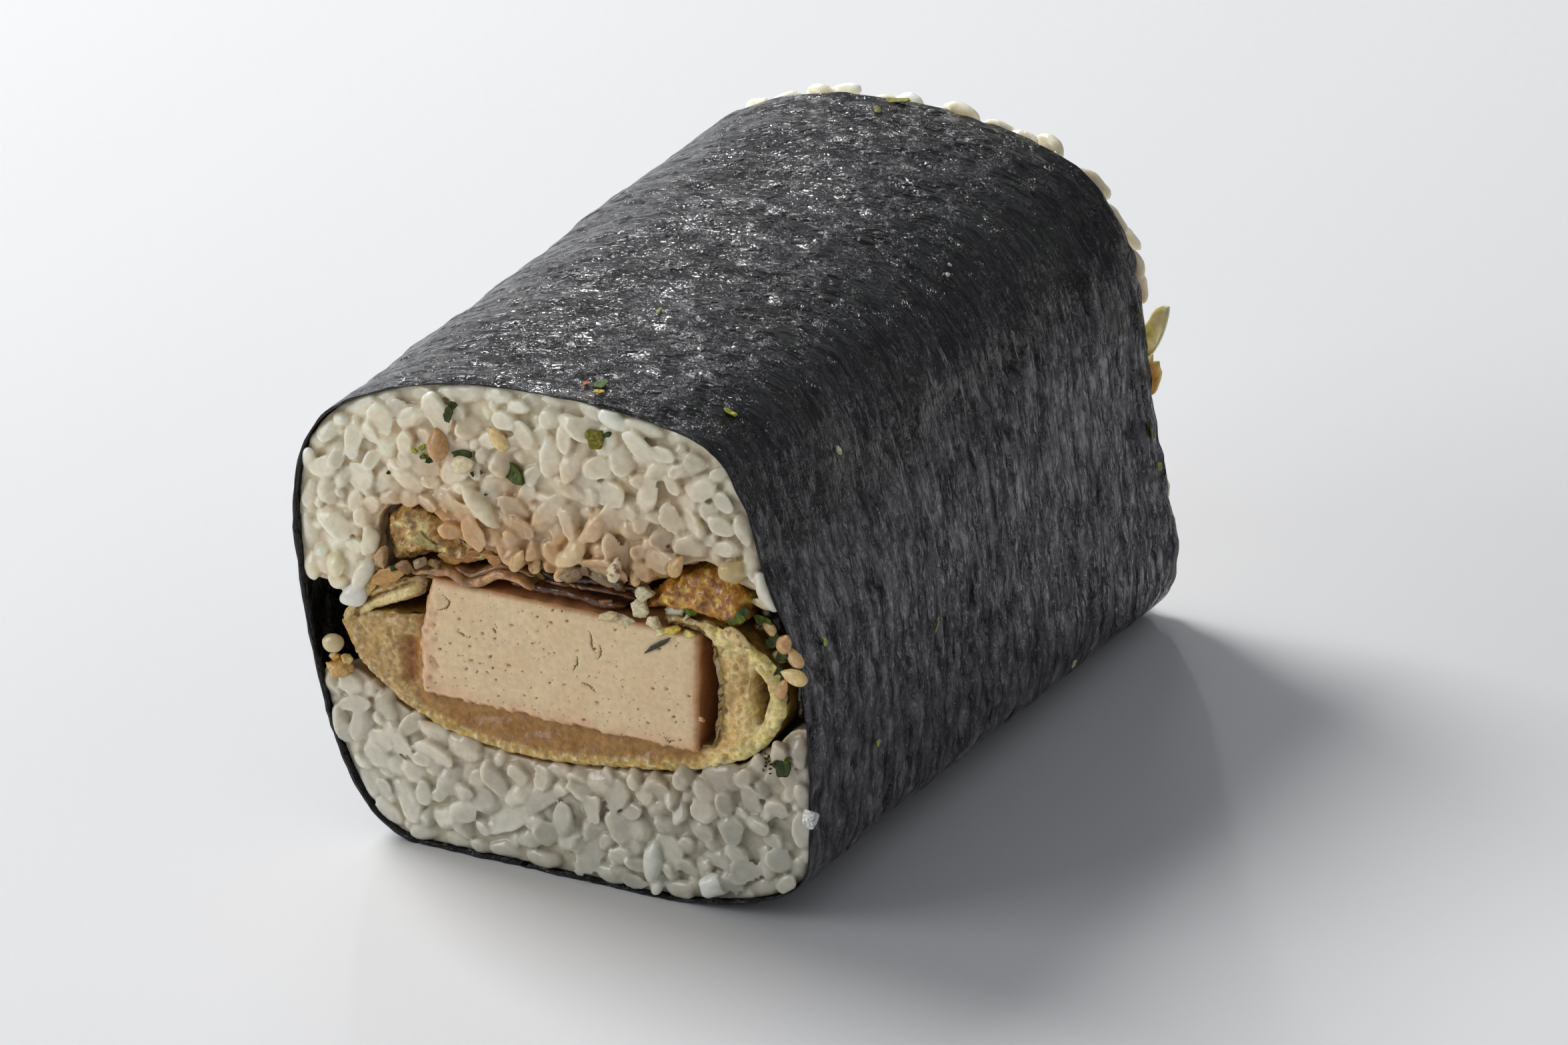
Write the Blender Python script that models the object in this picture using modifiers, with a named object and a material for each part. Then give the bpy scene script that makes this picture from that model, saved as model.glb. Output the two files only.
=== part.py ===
"""Half of a thick sushi roll, resting on its flat side.

The roll was cut across its middle. The clean cut face looks along -Y and the roll's own end along +Y.
A nori sheet wraps two beds of rice. Between the beds lie a pored slab, a puffed fried skin that folds
round it, dark braised strips, two craggy fried pieces and a seaweed and sesame relish.
Metres, +Z up, the origin under the middle of the whole piece, on the surface that it rests on.
"""

import math
import random

import bmesh
import bpy
from mathutils import Matrix, Vector, noise

MM = 0.001

# ---- driving dimensions -------------------------------------------------------------------------
LENGTH = 90 * MM  # the nori, from the cut rim to the far rim
NORI_THICKNESS = 0.5 * MM
GAP = 0.3 * MM  # between any two pieces
CUT_RECESS = 1.4 * MM  # the rice bed behind the plane of the cut, under its grains
END_PROUD = 0.4 * MM  # the rice bed beyond the nori at the roll's own end
CENTRE_SHIFT = Vector((-0.19, -1.47, 0)) * MM  # brings the middle of the whole to the origin

# The outside of the nori, in mm, seen from the cut face: from the middle of the base round to the right.
# Both ends have the same points, so that one blends into the other along the roll.
CUT_OUTLINE = [
    (-4, 0), (8, 0), (16, 0.3), (24.4, 2.2), (29.6, 5.8), (30.6, 12.4), (30.2, 24), (29.0, 32.6),
    (25.6, 40.6), (23.0, 48.6), (18.6, 54.8), (9, 57.0), (-7, 56.8), (-20, 54.0), (-28.8, 48.4),
    (-32.0, 39), (-31.4, 27), (-28.8, 14.8), (-25.2, 5.4), (-20, 0.5), (-13, 0),
]
END_OUTLINE = [
    (-4, 0), (8, 0), (20, 0), (28.8, 0.5), (32.6, 4.8), (32.5, 12.6), (30.9, 22), (29.0, 32),
    (27.8, 41.0), (24.8, 48.4), (18.6, 54.2), (9, 57.2), (-5, 58.2), (-18, 55.6), (-28.4, 49.0),
    (-32.4, 39), (-31.8, 27), (-29.4, 15), (-25.8, 5.6), (-20.4, 0.5), (-13, 0),
]
POINTS_PER_SPAN = 3
STATIONS = 7
LUMP_HEIGHT = 0.5 * MM  # how far the packed rice pushes the nori in and out
LUMP_SIZE = 17 * MM

# What lies between the two beds, in mm, seen from the cut face.
SLAB = {"x": (-16.8, 16.6), "z": (18.1, 32.3), "edge": 0.5}
SKIN_UNDERSIDE = [
    (-26.9, 24.8), (-24.2, 20.2), (-18.6, 16.2), (-12.0, 14.0), (-2.2, 13.3), (8.7, 14.6), (17.2, 16.2),
    (24.4, 20.1), (27.2, 25.2), (26.2, 30.0), (22.2, 32.7), (16.8, 33.7), (12.6, 33.5),
]
SKIN_INSIDE = [
    (12.8, 32.7), (16.8, 32.7), (18.4, 31.8), (19.2, 29.8), (19.9, 27.0), (19.7, 22.6), (18.4, 19.0),
    (16.6, 17.7), (8.0, 17.7), (-8.0, 17.7), (-17.1, 17.7), (-17.3, 21.6), (-17.2, 27.6), (-23.6, 26.6),
    (-17.4, 30.0), (-17.3, 32.2), (-21.6, 30.6),
]
SKIN_POCKET = [
    (21.4, 21.2), (23.6, 21.0), (25.2, 24.0), (24.9, 27.8), (22.8, 30.6), (20.8, 29.8), (21.1, 25.6),
]
POCKET_DEPTH = 12 * MM  # the pocket is open at both ends and shut in between
STRIPS = [
    (-16.6, 32.9), (-12.8, 32.7), (-10.8, 32.7), (-8.0, 32.9), (-5.0, 33.2), (-1.8, 32.7), (2.4, 33.0),
    (6.0, 32.8), (9.2, 32.8), (9.5, 35.8), (7.4, 36.0), (4.8, 35.4), (1.2, 34.4), (-2.2, 35.2),
    (-6.0, 35.1), (-9.0, 34.6), (-11.9, 33.6), (-14.6, 33.8),
]
LEFT_FRITTER = [
    (-21.2, 37.6), (-20.6, 33.4), (-18.4, 33.6), (-15.8, 34.8), (-12.2, 34.4), (-9.4, 35.4), (-8.6, 36.2),
    (-12.6, 36.8), (-15.6, 39.2), (-18.4, 40.2),
]
RIGHT_FRITTER = [
    (10.4, 34.0), (12.6, 34.2), (16.6, 34.3), (20.6, 33.7), (22.6, 35.2), (22.2, 38.0), (18.4, 40.0),
    (14.4, 38.6), (11.4, 36.4),
]
RELISH = [
    (22.4, 33.4), (24.6, 32.2), (27.0, 29.6), (27.8, 26.2), (27.6, 24.0), (28.4, 24.0), (28.5, 27.8),
    (27.2, 32.0), (24.8, 36.6), (23.2, 37.4), (23.3, 35.0),
]
RELISH_RECESS = 2.2 * MM  # the relish lies back from the cut
SLAB_RECESS = 0.3 * MM

# The beds' inner faces: what is above the first line is the upper bed, below the second the lower bed.
UPPER_BED_FACE = [
    (-36, 29.0), (-29.9, 29.4), (-25.8, 29.0), (-22.6, 31.8), (-21.9, 38.5), (-18.2, 40.8), (-15.2, 40.0),
    (-12.2, 37.5), (-8.2, 36.8), (-5.2, 36.2), (-1.6, 36.2), (3.6, 36.4), (8.4, 37.2), (11.6, 37.8),
    (14.2, 39.6), (18.2, 41.0), (22.6, 39.2), (26.2, 38.2), (36, 38.0),
]
LOWER_BED_FACE = [
    (-36, 18.2), (-28.4, 18.4), (-25.2, 19.2), (-19.0, 15.6), (-12.2, 13.5), (-2.2, 12.8), (8.8, 14.1),
    (17.5, 15.7), (24.9, 19.6), (27.4, 22.6), (29.4, 23.6), (36, 23.6),
]
# Deeper in, the lower bed also fills the hollow beside the skin's left fold.
HOLLOW_FILL = [
    (-36, 17.6), (-26.6, 18.2), (-27.6, 21.0), (-27.8, 24.6), (-26.6, 27.2), (-27.6, 28.6), (-36, 28.6),
]
HOLLOW_DEPTH = 11 * MM

# Small pieces, full lengths across their three axes.
GRAIN = Vector((6.4, 2.7, 2.4)) * MM
GRAIN_GRID = Vector((4.8, 3.25)) * MM
SESAME = Vector((3.3, 1.9, 1.1)) * MM
HERB = Vector((3.6, 1.8, 1.2)) * MM
CRUMB = Vector((1.9, 1.6, 1.4)) * MM
CRUMB_GRID = Vector((3.6, 3.2)) * MM
SHRED = Vector((8.6, 3.4, 0.9)) * MM

# Places on the cut face, in mm, of what shows on the rice and the relish: x, z and the turn in degrees.
SESAME_ON_RICE = [(-14.2, 48.9, 75), (-6.9, 50.7, -50), (-11.2, 46.6, 20), (14.4, 43.0, 70), (7.2, 40.4, 80)]
SESAME_ON_RELISH = [(27.0, 32.0, -60), (25.0, 35.2, 10), (28.2, 29.2, 70)]
HERBS_ON_RICE = [(-5.3, 46.9, -30), (5.1, 52.8, 60)]
SHREDS_AT_END = [(25.6, 35.0, 72), (27.6, 29.0, 84)]

# Slot, colour and roughness of each piece.
LOOKS = {
    "nori_wrap": ("nori", (0.012, 0.012, 0.014), 0.45),
    "rice_upper": ("rice", (0.80, 0.78, 0.70), 0.4),
    "rice_lower": ("rice_plain", (0.80, 0.79, 0.73), 0.4),
    "pored_slab": ("slab", (0.72, 0.48, 0.34), 0.6),
    "fried_skin": ("fried_skin", (0.62, 0.43, 0.15), 0.6),
    "fritter_left": ("fritter", (0.48, 0.27, 0.07), 0.5),
    "fritter_right": ("fritter_dark", (0.45, 0.23, 0.05), 0.5),
    "braised_strips": ("braised", (0.13, 0.06, 0.03), 0.3),
    "seaweed_relish": ("relish", (0.07, 0.06, 0.02), 0.4),
}

SEED = 20


# ---- helpers -------------------------------------------------------------------------------------
def clear_scene():
    for obj in list(bpy.data.objects):
        bpy.data.objects.remove(obj, do_unlink=True)


def material(name, colour, roughness):
    made = bpy.data.materials.new(name)
    made.use_nodes = True
    shader = made.node_tree.nodes["Principled BSDF"]
    shader.inputs["Base Color"].default_value = (*colour, 1)
    shader.inputs["Roughness"].default_value = roughness
    shader.inputs["Metallic"].default_value = 0
    return made


def new_collection(name):
    made = bpy.data.collections.new(name)
    bpy.context.scene.collection.children.link(made)
    return made


def object_of(name, mesh, collection):
    obj = bpy.data.objects.new(name, mesh)
    collection.objects.link(obj)
    return obj


def catmull_rom(a, b, c, d, t):
    """The point at t, from 0 to 1, between b and c."""
    return 0.5 * (2 * b + (c - a) * t + (2 * a - 5 * b + 4 * c - d) * t * t + (3 * b - a - 3 * c + d) * t**3)


def smooth_loop(points, per_span):
    """A closed smooth curve through the points, which are in mm, as 2D vectors in metres."""
    points = [Vector(p) * MM for p in points]
    count = len(points)
    return [
        catmull_rom(points[i - 1], points[i], points[(i + 1) % count], points[(i + 2) % count], k / per_span)
        for i in range(count)
        for k in range(per_span)
    ]


def smooth_line(points, per_span):
    """The same for an open line, with both ends kept."""
    points = [Vector(p) * MM for p in points]
    padded = [points[0], *points, points[-1]]
    made = [
        catmull_rom(*padded[i : i + 4], k / per_span)
        for i in range(len(points) - 1)
        for k in range(per_span)
    ]
    return [*made, points[-1]]


def inside(point, polygon):
    """True if the 2D point is inside the closed polygon."""
    found = False
    for a, b in zip(polygon, polygon[1:] + polygon[:1]):
        if (a.y > point.y) != (b.y > point.y):
            crossing = a.x + (point.y - a.y) * (b.x - a.x) / (b.y - a.y)
            found ^= point.x < crossing
    return found


# ---- the roll's outside --------------------------------------------------------------------------
def lump(point, y):
    """How far the rice pushes the nori out at this place. It fades out towards the flat base."""
    swell = noise.noise(Vector((point.x, y, point.y)) / LUMP_SIZE)
    return LUMP_HEIGHT * swell * min(1, point.y / (9 * MM))


def outline_at(along, inset=0.0):
    """The roll's outline at a share of its length, drawn in by inset, as 2D vectors."""
    cut = smooth_loop(CUT_OUTLINE, POINTS_PER_SPAN)
    end = smooth_loop(END_OUTLINE, POINTS_PER_SPAN)
    ring = [a.lerp(b, along) for a, b in zip(cut, end)]
    ring = [Vector((p.x, max(p.y, 0.0))) for p in ring]
    y = (along - 0.5) * LENGTH
    count = len(ring)
    moved = []
    for i, point in enumerate(ring):
        tangent = (ring[(i + 1) % count] - ring[i - 1]).normalized()
        outward = Vector((tangent.y, -tangent.x))
        moved.append(point + outward * (lump(point, y) - inset))
    if inset == 0:
        moved = [Vector((p.x, max(p.y, 0.0))) for p in moved]
    return moved


def loft(name, collection, inset, reach, caps):
    """A skin through the outlines between the two ends, each reach beyond or short of its rim."""
    bm = bmesh.new()
    rings = []
    for k in range(STATIONS):
        along = k / (STATIONS - 1)
        y = (along - 0.5) * LENGTH + reach[0] * (1 - along) + reach[1] * along
        rings.append([bm.verts.new((p.x, y, p.y)) for p in outline_at(along, inset)])
    count = len(rings[0])
    for near, far in zip(rings, rings[1:]):
        for i in range(count):
            j = (i + 1) % count
            bm.faces.new((near[i], near[j], far[j], far[i]))
    if caps:
        bm.faces.new(rings[0][::-1])
        bm.faces.new(rings[-1])
    bmesh.ops.recalc_face_normals(bm, faces=bm.faces)
    mesh = bpy.data.meshes.new(name)
    bm.to_mesh(mesh)
    bm.free()
    return object_of(name, mesh, collection)


def make_nori(collection):
    nori = loft("nori_wrap", collection, 0.0, (0, 0), caps=False)
    if nori.data.polygons[0].normal.z > 0:  # a face of the base, which looks down
        nori.data.flip_normals()
    shell = nori.modifiers.new("Thickness", "SOLIDIFY")
    shell.thickness = NORI_THICKNESS
    shell.offset = -1
    shell.use_even_offset = True
    return nori


# ---- prisms, cuts and unions ---------------------------------------------------------------------
def prism(name, collection, loops, near, far):
    """A solid between the planes y = near and y = far, of the outline loops[0] less any further loops."""
    curve = bpy.data.curves.new(name, "CURVE")
    curve.dimensions = "2D"
    curve.fill_mode = "BOTH"
    curve.extrude = (far - near) / 2
    for loop in loops:
        spline = curve.splines.new("POLY")
        spline.points.add(len(loop) - 1)
        for point, place in zip(spline.points, loop):
            point.co = (place.x, place.y, 0, 1)
        spline.use_cyclic_u = True
    obj = object_of(name, curve, collection)
    obj.rotation_euler = (math.pi / 2, 0, 0)
    obj.location = (0, (near + far) / 2, 0)
    return obj


def as_mesh(obj):
    """The curve or modified object replaced by its plain mesh, in the world's axes."""
    bpy.context.view_layer.update()
    graph = bpy.context.evaluated_depsgraph_get()
    mesh = bpy.data.meshes.new_from_object(obj.evaluated_get(graph), depsgraph=graph)
    mesh.transform(obj.matrix_world)
    bm = bmesh.new()
    bm.from_mesh(mesh)
    bmesh.ops.remove_doubles(bm, verts=bm.verts, dist=0.001 * MM)
    bmesh.ops.recalc_face_normals(bm, faces=bm.faces)
    bm.to_mesh(mesh)
    bm.free()
    name, collection = obj.name, obj.users_collection[0]
    bpy.data.objects.remove(obj, do_unlink=True)
    mesh.name = name
    return object_of(name, mesh, collection)


def islands(bm):
    """The separate shells of the mesh, each as a list of its faces."""
    left, found = set(bm.faces), []
    while left:
        todo = [left.pop()]
        shell = []
        while todo:
            face = todo.pop()
            shell.append(face)
            for edge in face.edges:
                for other in edge.link_faces:
                    if other in left:
                        left.remove(other)
                        todo.append(other)
        found.append(shell)
    return found


def keep_outer_shell(obj):
    """Fills the hollows that a union has sealed and drops loose scraps: only the largest shell stays."""
    bm = bmesh.new()
    bm.from_mesh(obj.data)
    shells = islands(bm)

    def signed_volume(faces):
        total = 0.0
        for face in faces:
            corners = [v.co for v in face.verts]
            for b, c in zip(corners[1:], corners[2:]):
                total += corners[0].dot(b.cross(c)) / 6
        return total

    largest = max(shells, key=signed_volume)
    spare = [face for shell in shells if shell is not largest for face in shell]
    bmesh.ops.delete(bm, geom=spare, context="FACES")
    bm.to_mesh(obj.data)
    bm.free()


def combine(obj, others, operation, solver="EXACT"):
    """obj joined with, cut by, or kept only inside the others, which are then removed."""
    helpers = new_collection(obj.name + "_helpers")
    for other in others:
        for home in other.users_collection:
            home.objects.unlink(other)
        helpers.objects.link(other)
    change = obj.modifiers.new("Combine", "BOOLEAN")
    change.operation = operation
    change.operand_type = "COLLECTION"
    change.collection = helpers
    change.solver = solver
    made = as_mesh(obj)
    for other in list(helpers.objects):
        bpy.data.objects.remove(other, do_unlink=True)
    bpy.data.collections.remove(helpers)
    keep_outer_shell(made)
    return made


# ---- small pieces --------------------------------------------------------------------------------
def ellipsoid(name, collection, size, place, turn, segments=6, rings=4, taper=0.0, bend=0.0):
    """A small pip of that size, its long axis X, narrowed towards +X by taper and curved by bend."""
    bm = bmesh.new()
    bmesh.ops.create_uvsphere(bm, u_segments=segments, v_segments=rings, radius=0.5)
    bmesh.ops.rotate(bm, verts=bm.verts, matrix=Matrix.Rotation(math.pi / 2, 3, "Y"))
    for v in bm.verts:
        narrow = 1 - taper * (v.co.x + 0.5)
        v.co.y *= narrow
        v.co.z *= narrow
        v.co = Vector((v.co.x * size.x, v.co.y * size.y, v.co.z * size.z))
        v.co.y += bend * size.y * ((2 * v.co.x / size.x) ** 2 - 0.5)
        v.co = place + turn @ v.co
    mesh = bpy.data.meshes.new(name)
    bm.to_mesh(mesh)
    bm.free()
    return object_of(name, mesh, collection)


def crag(name, collection, size, place, rng):
    """A small broken crumb: an icosahedron with its corners pushed about."""
    bm = bmesh.new()
    bmesh.ops.create_icosphere(bm, subdivisions=1, radius=0.5)
    turn = Matrix.Rotation(rng.uniform(0, math.tau), 3, Vector((rng.random(), rng.random(), 1)).normalized())
    for v in bm.verts:
        v.co *= rng.uniform(0.8, 1.25)
        v.co = place + turn @ Vector((v.co.x * size.x, v.co.y * size.y, v.co.z * size.z))
    mesh = bpy.data.meshes.new(name)
    bm.to_mesh(mesh)
    bm.free()
    return object_of(name, mesh, collection)


def lying(angle, tilt, roll=0.0):
    """The turn of a pip that lies on an end face: angle in the face, tilt out of it, roll about itself."""
    in_face = Matrix.Rotation(-angle, 3, "Y")
    out_of_face = Matrix.Rotation(tilt, 3, "Z")
    about_itself = Matrix.Rotation(roll, 3, "X")
    return in_face @ out_of_face @ about_itself


def footprint(centre, size, angle, tilt, margin):
    """Points round the ellipse that a lying pip covers on the end face, widened by margin."""
    half_long = math.hypot(size.x * math.cos(tilt), size.z * math.sin(tilt)) / 2 + margin
    half_wide = max(size.y, size.z) / 2 + margin
    along = Vector((math.cos(angle), math.sin(angle)))
    across = Vector((-along.y, along.x))
    turns = [math.tau * k / 12 for k in range(12)]
    return [centre + along * (half_long * math.cos(t)) + across * (half_wide * math.sin(t)) for t in turns]


def grid_points(polygon, pitch, rng):
    """A jittered brick pattern of points over the polygon."""
    low = Vector((min(p.x for p in polygon), min(p.y for p in polygon)))
    high = Vector((max(p.x for p in polygon), max(p.y for p in polygon)))
    rows = int((high.y - low.y) / pitch.y) + 2
    columns = int((high.x - low.x) / pitch.x) + 2
    for row in range(rows):
        for column in range(columns):
            shift = 0.5 * (row % 2)
            jitter = Vector((rng.uniform(-0.2, 0.2), rng.uniform(-0.2, 0.2)))
            yield low + Vector(((column + shift + jitter.x) * pitch.x, (row + jitter.y) * pitch.y))


def grains_over(name, collection, fits, bounds, face_y, outward, rng, pitch=GRAIN_GRID):
    """Rice grains spread over an end face wherever fits(footprint) allows."""
    made = []
    for centre in grid_points(bounds, pitch, rng):
        for attempt in range(14):
            shrink = 1 - 0.03 * attempt
            size = GRAIN * rng.uniform(0.9, 1.08) * shrink
            angle = rng.uniform(0, math.pi)
            tilt = rng.choice((-1, 1)) * rng.uniform(0.05, 0.5 + 0.06 * attempt)
            nudge = Vector((rng.uniform(-0.5, 0.5), rng.uniform(-0.5, 0.5))) * MM * attempt / 5
            if not fits(footprint(centre + nudge, size, angle, tilt, GAP)):
                continue
            lift = rng.uniform(0.1, 0.6) * MM - 0.18 * abs(math.sin(tilt)) * size.x
            place = Vector((centre.x + nudge.x, face_y + outward * lift, centre.y + nudge.y))
            turn = lying(angle, tilt, rng.uniform(0, math.pi))
            made.append(ellipsoid(f"{name}_{len(made)}", collection, size, place, turn, rings=3, bend=0.12))
            break
    return made


def crumbs_over(name, collection, polygon, holes, face_y, outward, rng, pitch=CRUMB_GRID):
    """Crumbs that roughen the end face of a fried piece, kept inside its outline."""
    made = []
    for centre in grid_points(polygon, pitch, rng):
        size = CRUMB * rng.uniform(0.75, 1.15)
        ring = footprint(centre, size * 1.25, 0, 0, 0)
        over_hole = any(inside(p, hole) for p in [centre, *ring] for hole in holes)
        if over_hole or not all(inside(p, polygon) for p in ring):
            continue
        place = Vector((centre.x, face_y - outward * rng.uniform(0.1, 0.4) * MM, centre.y))
        made.append(crag(f"{name}_{len(made)}", collection, size, place, rng))
    return made


# ---- the rice ------------------------------------------------------------------------------------
def bed_region(face, top):
    """The half plane on one side of a bed's inner face, as a closed polygon."""
    line = smooth_line(face, 2)
    far = (80 if top else -20) * MM
    return [*line, Vector((line[-1].x, far)), Vector((line[0].x, far))]


def end_faces():
    """For the cut and the roll's own end: the share along the roll, the bed's plane and its outward sign."""
    return (
        (0.0, -LENGTH / 2 + CUT_RECESS, -1),
        (1.0, LENGTH / 2 + END_PROUD, 1),
    )


def make_bed(name, face, top, collection, scratch, toppings=None, fill=None):
    """One bed of rice: a core inside the nori, with the grains that show at both ends fused on."""
    rng = random.Random(f"{SEED} {name}")
    region = bed_region(face, top)
    core = loft(name, collection, NORI_THICKNESS + GAP, (CUT_RECESS, END_PROUD), caps=True)
    keep = as_mesh(prism(name + "_region", scratch, [region], -LENGTH, LENGTH))
    if fill:
        deep = LENGTH / 2 - HOLLOW_DEPTH
        filling = as_mesh(prism(name + "_fill", scratch, [smooth_loop(fill, 2)], -deep, deep))
        keep = combine(keep, [filling], "UNION")
    core = combine(core, [keep], "INTERSECT")
    pieces = []
    for along, face_y, outward in end_faces():
        outline = outline_at(along, NORI_THICKNESS)

        def fits(ring, outline=outline):
            return all(inside(p, outline) and inside(p, region) for p in ring)

        pieces += grains_over(f"{name}_grain{outward}", scratch, fits, outline, face_y, outward, rng)
    if toppings:
        pieces += toppings(scratch)
    return combine(core, pieces, "UNION", "MANIFOLD")


def rice_toppings(scratch):
    """Sesame seeds and herb flakes that lie on the cut face of the upper bed."""
    y = -LENGTH / 2 - 0.1 * MM
    made = []
    for x, z, turn in SESAME_ON_RICE:
        place = Vector((x * MM, y, z * MM))
        made.append(ellipsoid(f"seed{x}", scratch, SESAME, place, lying(math.radians(turn), 0.1), taper=0.35))
    for x, z, turn in HERBS_ON_RICE:
        place = Vector((x * MM, y, z * MM))
        made.append(ellipsoid(f"herb{x}", scratch, HERB, place, lying(math.radians(turn), 0.1)))
    return made


# ---- the filling ---------------------------------------------------------------------------------
def make_slab(collection):
    (left, right), (low, high) = SLAB["x"], SLAB["z"]
    size = Vector(((right - left) * MM, LENGTH - 2 * SLAB_RECESS, (high - low) * MM))
    bm = bmesh.new()
    bmesh.ops.create_cube(bm, size=1)
    bmesh.ops.scale(bm, vec=size, verts=bm.verts)
    mesh = bpy.data.meshes.new("pored_slab")
    bm.to_mesh(mesh)
    bm.free()
    slab = object_of("pored_slab", mesh, collection)
    slab.location = ((left + right) / 2 * MM, 0, (low + high) / 2 * MM)
    edge = slab.modifiers.new("Worn edge", "BEVEL")
    edge.width = SLAB["edge"] * MM
    edge.segments = 2
    return slab


def make_skin(collection, scratch):
    """The puffed fried skin: under the slab and folded round both its sides, with a pocket on the right."""
    rng = random.Random(f"{SEED} skin")
    underside = smooth_line(SKIN_UNDERSIDE, 3)
    within = [Vector(p) * MM for p in SKIN_INSIDE]
    outline = [*underside, *within]
    pocket = smooth_loop(SKIN_POCKET, 3)
    near, far = -LENGTH / 2 + SLAB_RECESS, LENGTH / 2
    skin = as_mesh(prism("fried_skin", collection, [outline], near, far))
    cuts = [
        as_mesh(prism("pocket_cut", scratch, [pocket], near - MM, near + POCKET_DEPTH)),
        as_mesh(prism("pocket_end", scratch, [pocket], far - POCKET_DEPTH, far + MM)),
    ]
    skin = combine(skin, cuts, "DIFFERENCE")
    pieces = crumbs_over("skin_near", scratch, outline, [pocket], near, -1, rng, CRUMB_GRID * 0.8)
    pieces += crumbs_over("skin_far", scratch, outline, [pocket], far, 1, rng, CRUMB_GRID * 0.8)
    return combine(skin, pieces, "UNION", "MANIFOLD")


def make_fritter(name, points, collection, scratch):
    """A craggy fried piece that runs along the roll."""
    rng = random.Random(f"{SEED} {name}")
    outline = smooth_loop(points, 2)
    near, far = -LENGTH / 2 + 0.8 * MM, LENGTH / 2 - 0.4 * MM
    core = as_mesh(prism(name, collection, [outline], near, far))
    pitch = CRUMB_GRID * 0.5
    pieces = crumbs_over(name + "_near", scratch, outline, [], near, -1, rng, pitch)
    pieces += crumbs_over(name + "_far", scratch, outline, [], far, 1, rng, pitch)
    return combine(core, pieces, "UNION", "MANIFOLD")


def make_relish(collection, scratch):
    """Seaweed and sauce beside the fold of the skin, with the sesame seeds that show in it."""
    near, far = -LENGTH / 2 + RELISH_RECESS, LENGTH / 2 - RELISH_RECESS
    core = as_mesh(prism("seaweed_relish", collection, [smooth_loop(RELISH, 2)], near, far))
    pieces = []
    for x, z, turn in SESAME_ON_RELISH:
        place = Vector((x * MM, near - 0.1 * MM, z * MM))
        lie = lying(math.radians(turn), 0.3)
        pieces.append(ellipsoid(f"relish_seed{x}", scratch, SESAME * 0.8, place, lie, taper=0.35))
    for x, z, turn in SHREDS_AT_END:
        place = Vector((x * MM, far + 2.0 * MM, z * MM))
        lie = lying(math.radians(turn), 1.3)
        pieces.append(ellipsoid(f"shred{x}", scratch, SHRED, place, lie, taper=0.6))
    return combine(core, pieces, "UNION", "MANIFOLD")


def make_strips(collection):
    """The braised strips between the slab and the upper bed."""
    outline = smooth_loop(STRIPS, 2)
    return prism("braised_strips", collection, [outline], -LENGTH / 2 + 0.5 * MM, LENGTH / 2 - 0.5 * MM)


def main():
    clear_scene()
    roll = new_collection("sushi_roll")
    scratch = new_collection("scratch")
    parts = [
        make_nori(roll),
        make_bed("rice_upper", UPPER_BED_FACE, True, roll, scratch, toppings=rice_toppings),
        make_bed("rice_lower", LOWER_BED_FACE, False, roll, scratch, fill=HOLLOW_FILL),
        make_slab(roll),
        make_skin(roll, scratch),
        make_fritter("fritter_left", LEFT_FRITTER, roll, scratch),
        make_fritter("fritter_right", RIGHT_FRITTER, roll, scratch),
        make_strips(roll),
        make_relish(roll, scratch),
    ]
    for obj in parts:
        obj.data.materials.clear()
        obj.data.materials.append(material(*LOOKS[obj.name]))
        obj.location += CENTRE_SHIFT
        if obj.type == "MESH":
            obj.data.shade_smooth()
            obj.data.set_sharp_from_angle(angle=math.radians(40))
    bpy.data.collections.remove(scratch)


main()
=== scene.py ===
"""The looks of the sushi roll: half of a thick filled roll, cut across its middle, lying on its flat side.

Lengths are in mm and in the roll's own axes: x to the right of the cut face, y along the roll from the
cut at -45 to its own end at 45, z up. SHIFT takes them to the model's axes. The stage is in metres. Each
noise has a seed of its own, so the same shapes come out each time.
"""

import itertools
import math
import random

import bmesh
import bpy
import numpy as np
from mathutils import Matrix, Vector, bvhtree, geometry, kdtree, noise


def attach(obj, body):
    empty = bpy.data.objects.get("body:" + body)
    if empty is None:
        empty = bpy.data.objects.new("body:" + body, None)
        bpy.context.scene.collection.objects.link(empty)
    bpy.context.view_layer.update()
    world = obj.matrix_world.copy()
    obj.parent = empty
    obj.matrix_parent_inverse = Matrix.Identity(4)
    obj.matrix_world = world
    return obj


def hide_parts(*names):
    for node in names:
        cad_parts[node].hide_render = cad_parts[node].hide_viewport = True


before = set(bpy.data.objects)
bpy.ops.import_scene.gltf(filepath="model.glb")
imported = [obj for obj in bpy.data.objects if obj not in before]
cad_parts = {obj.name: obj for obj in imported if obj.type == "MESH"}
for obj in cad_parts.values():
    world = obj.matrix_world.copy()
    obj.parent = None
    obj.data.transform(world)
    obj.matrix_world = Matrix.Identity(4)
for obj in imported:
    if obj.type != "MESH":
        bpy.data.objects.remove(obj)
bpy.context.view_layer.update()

MM = 0.001
SHIFT = np.array([-0.19, -1.47, 0.0])

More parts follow.
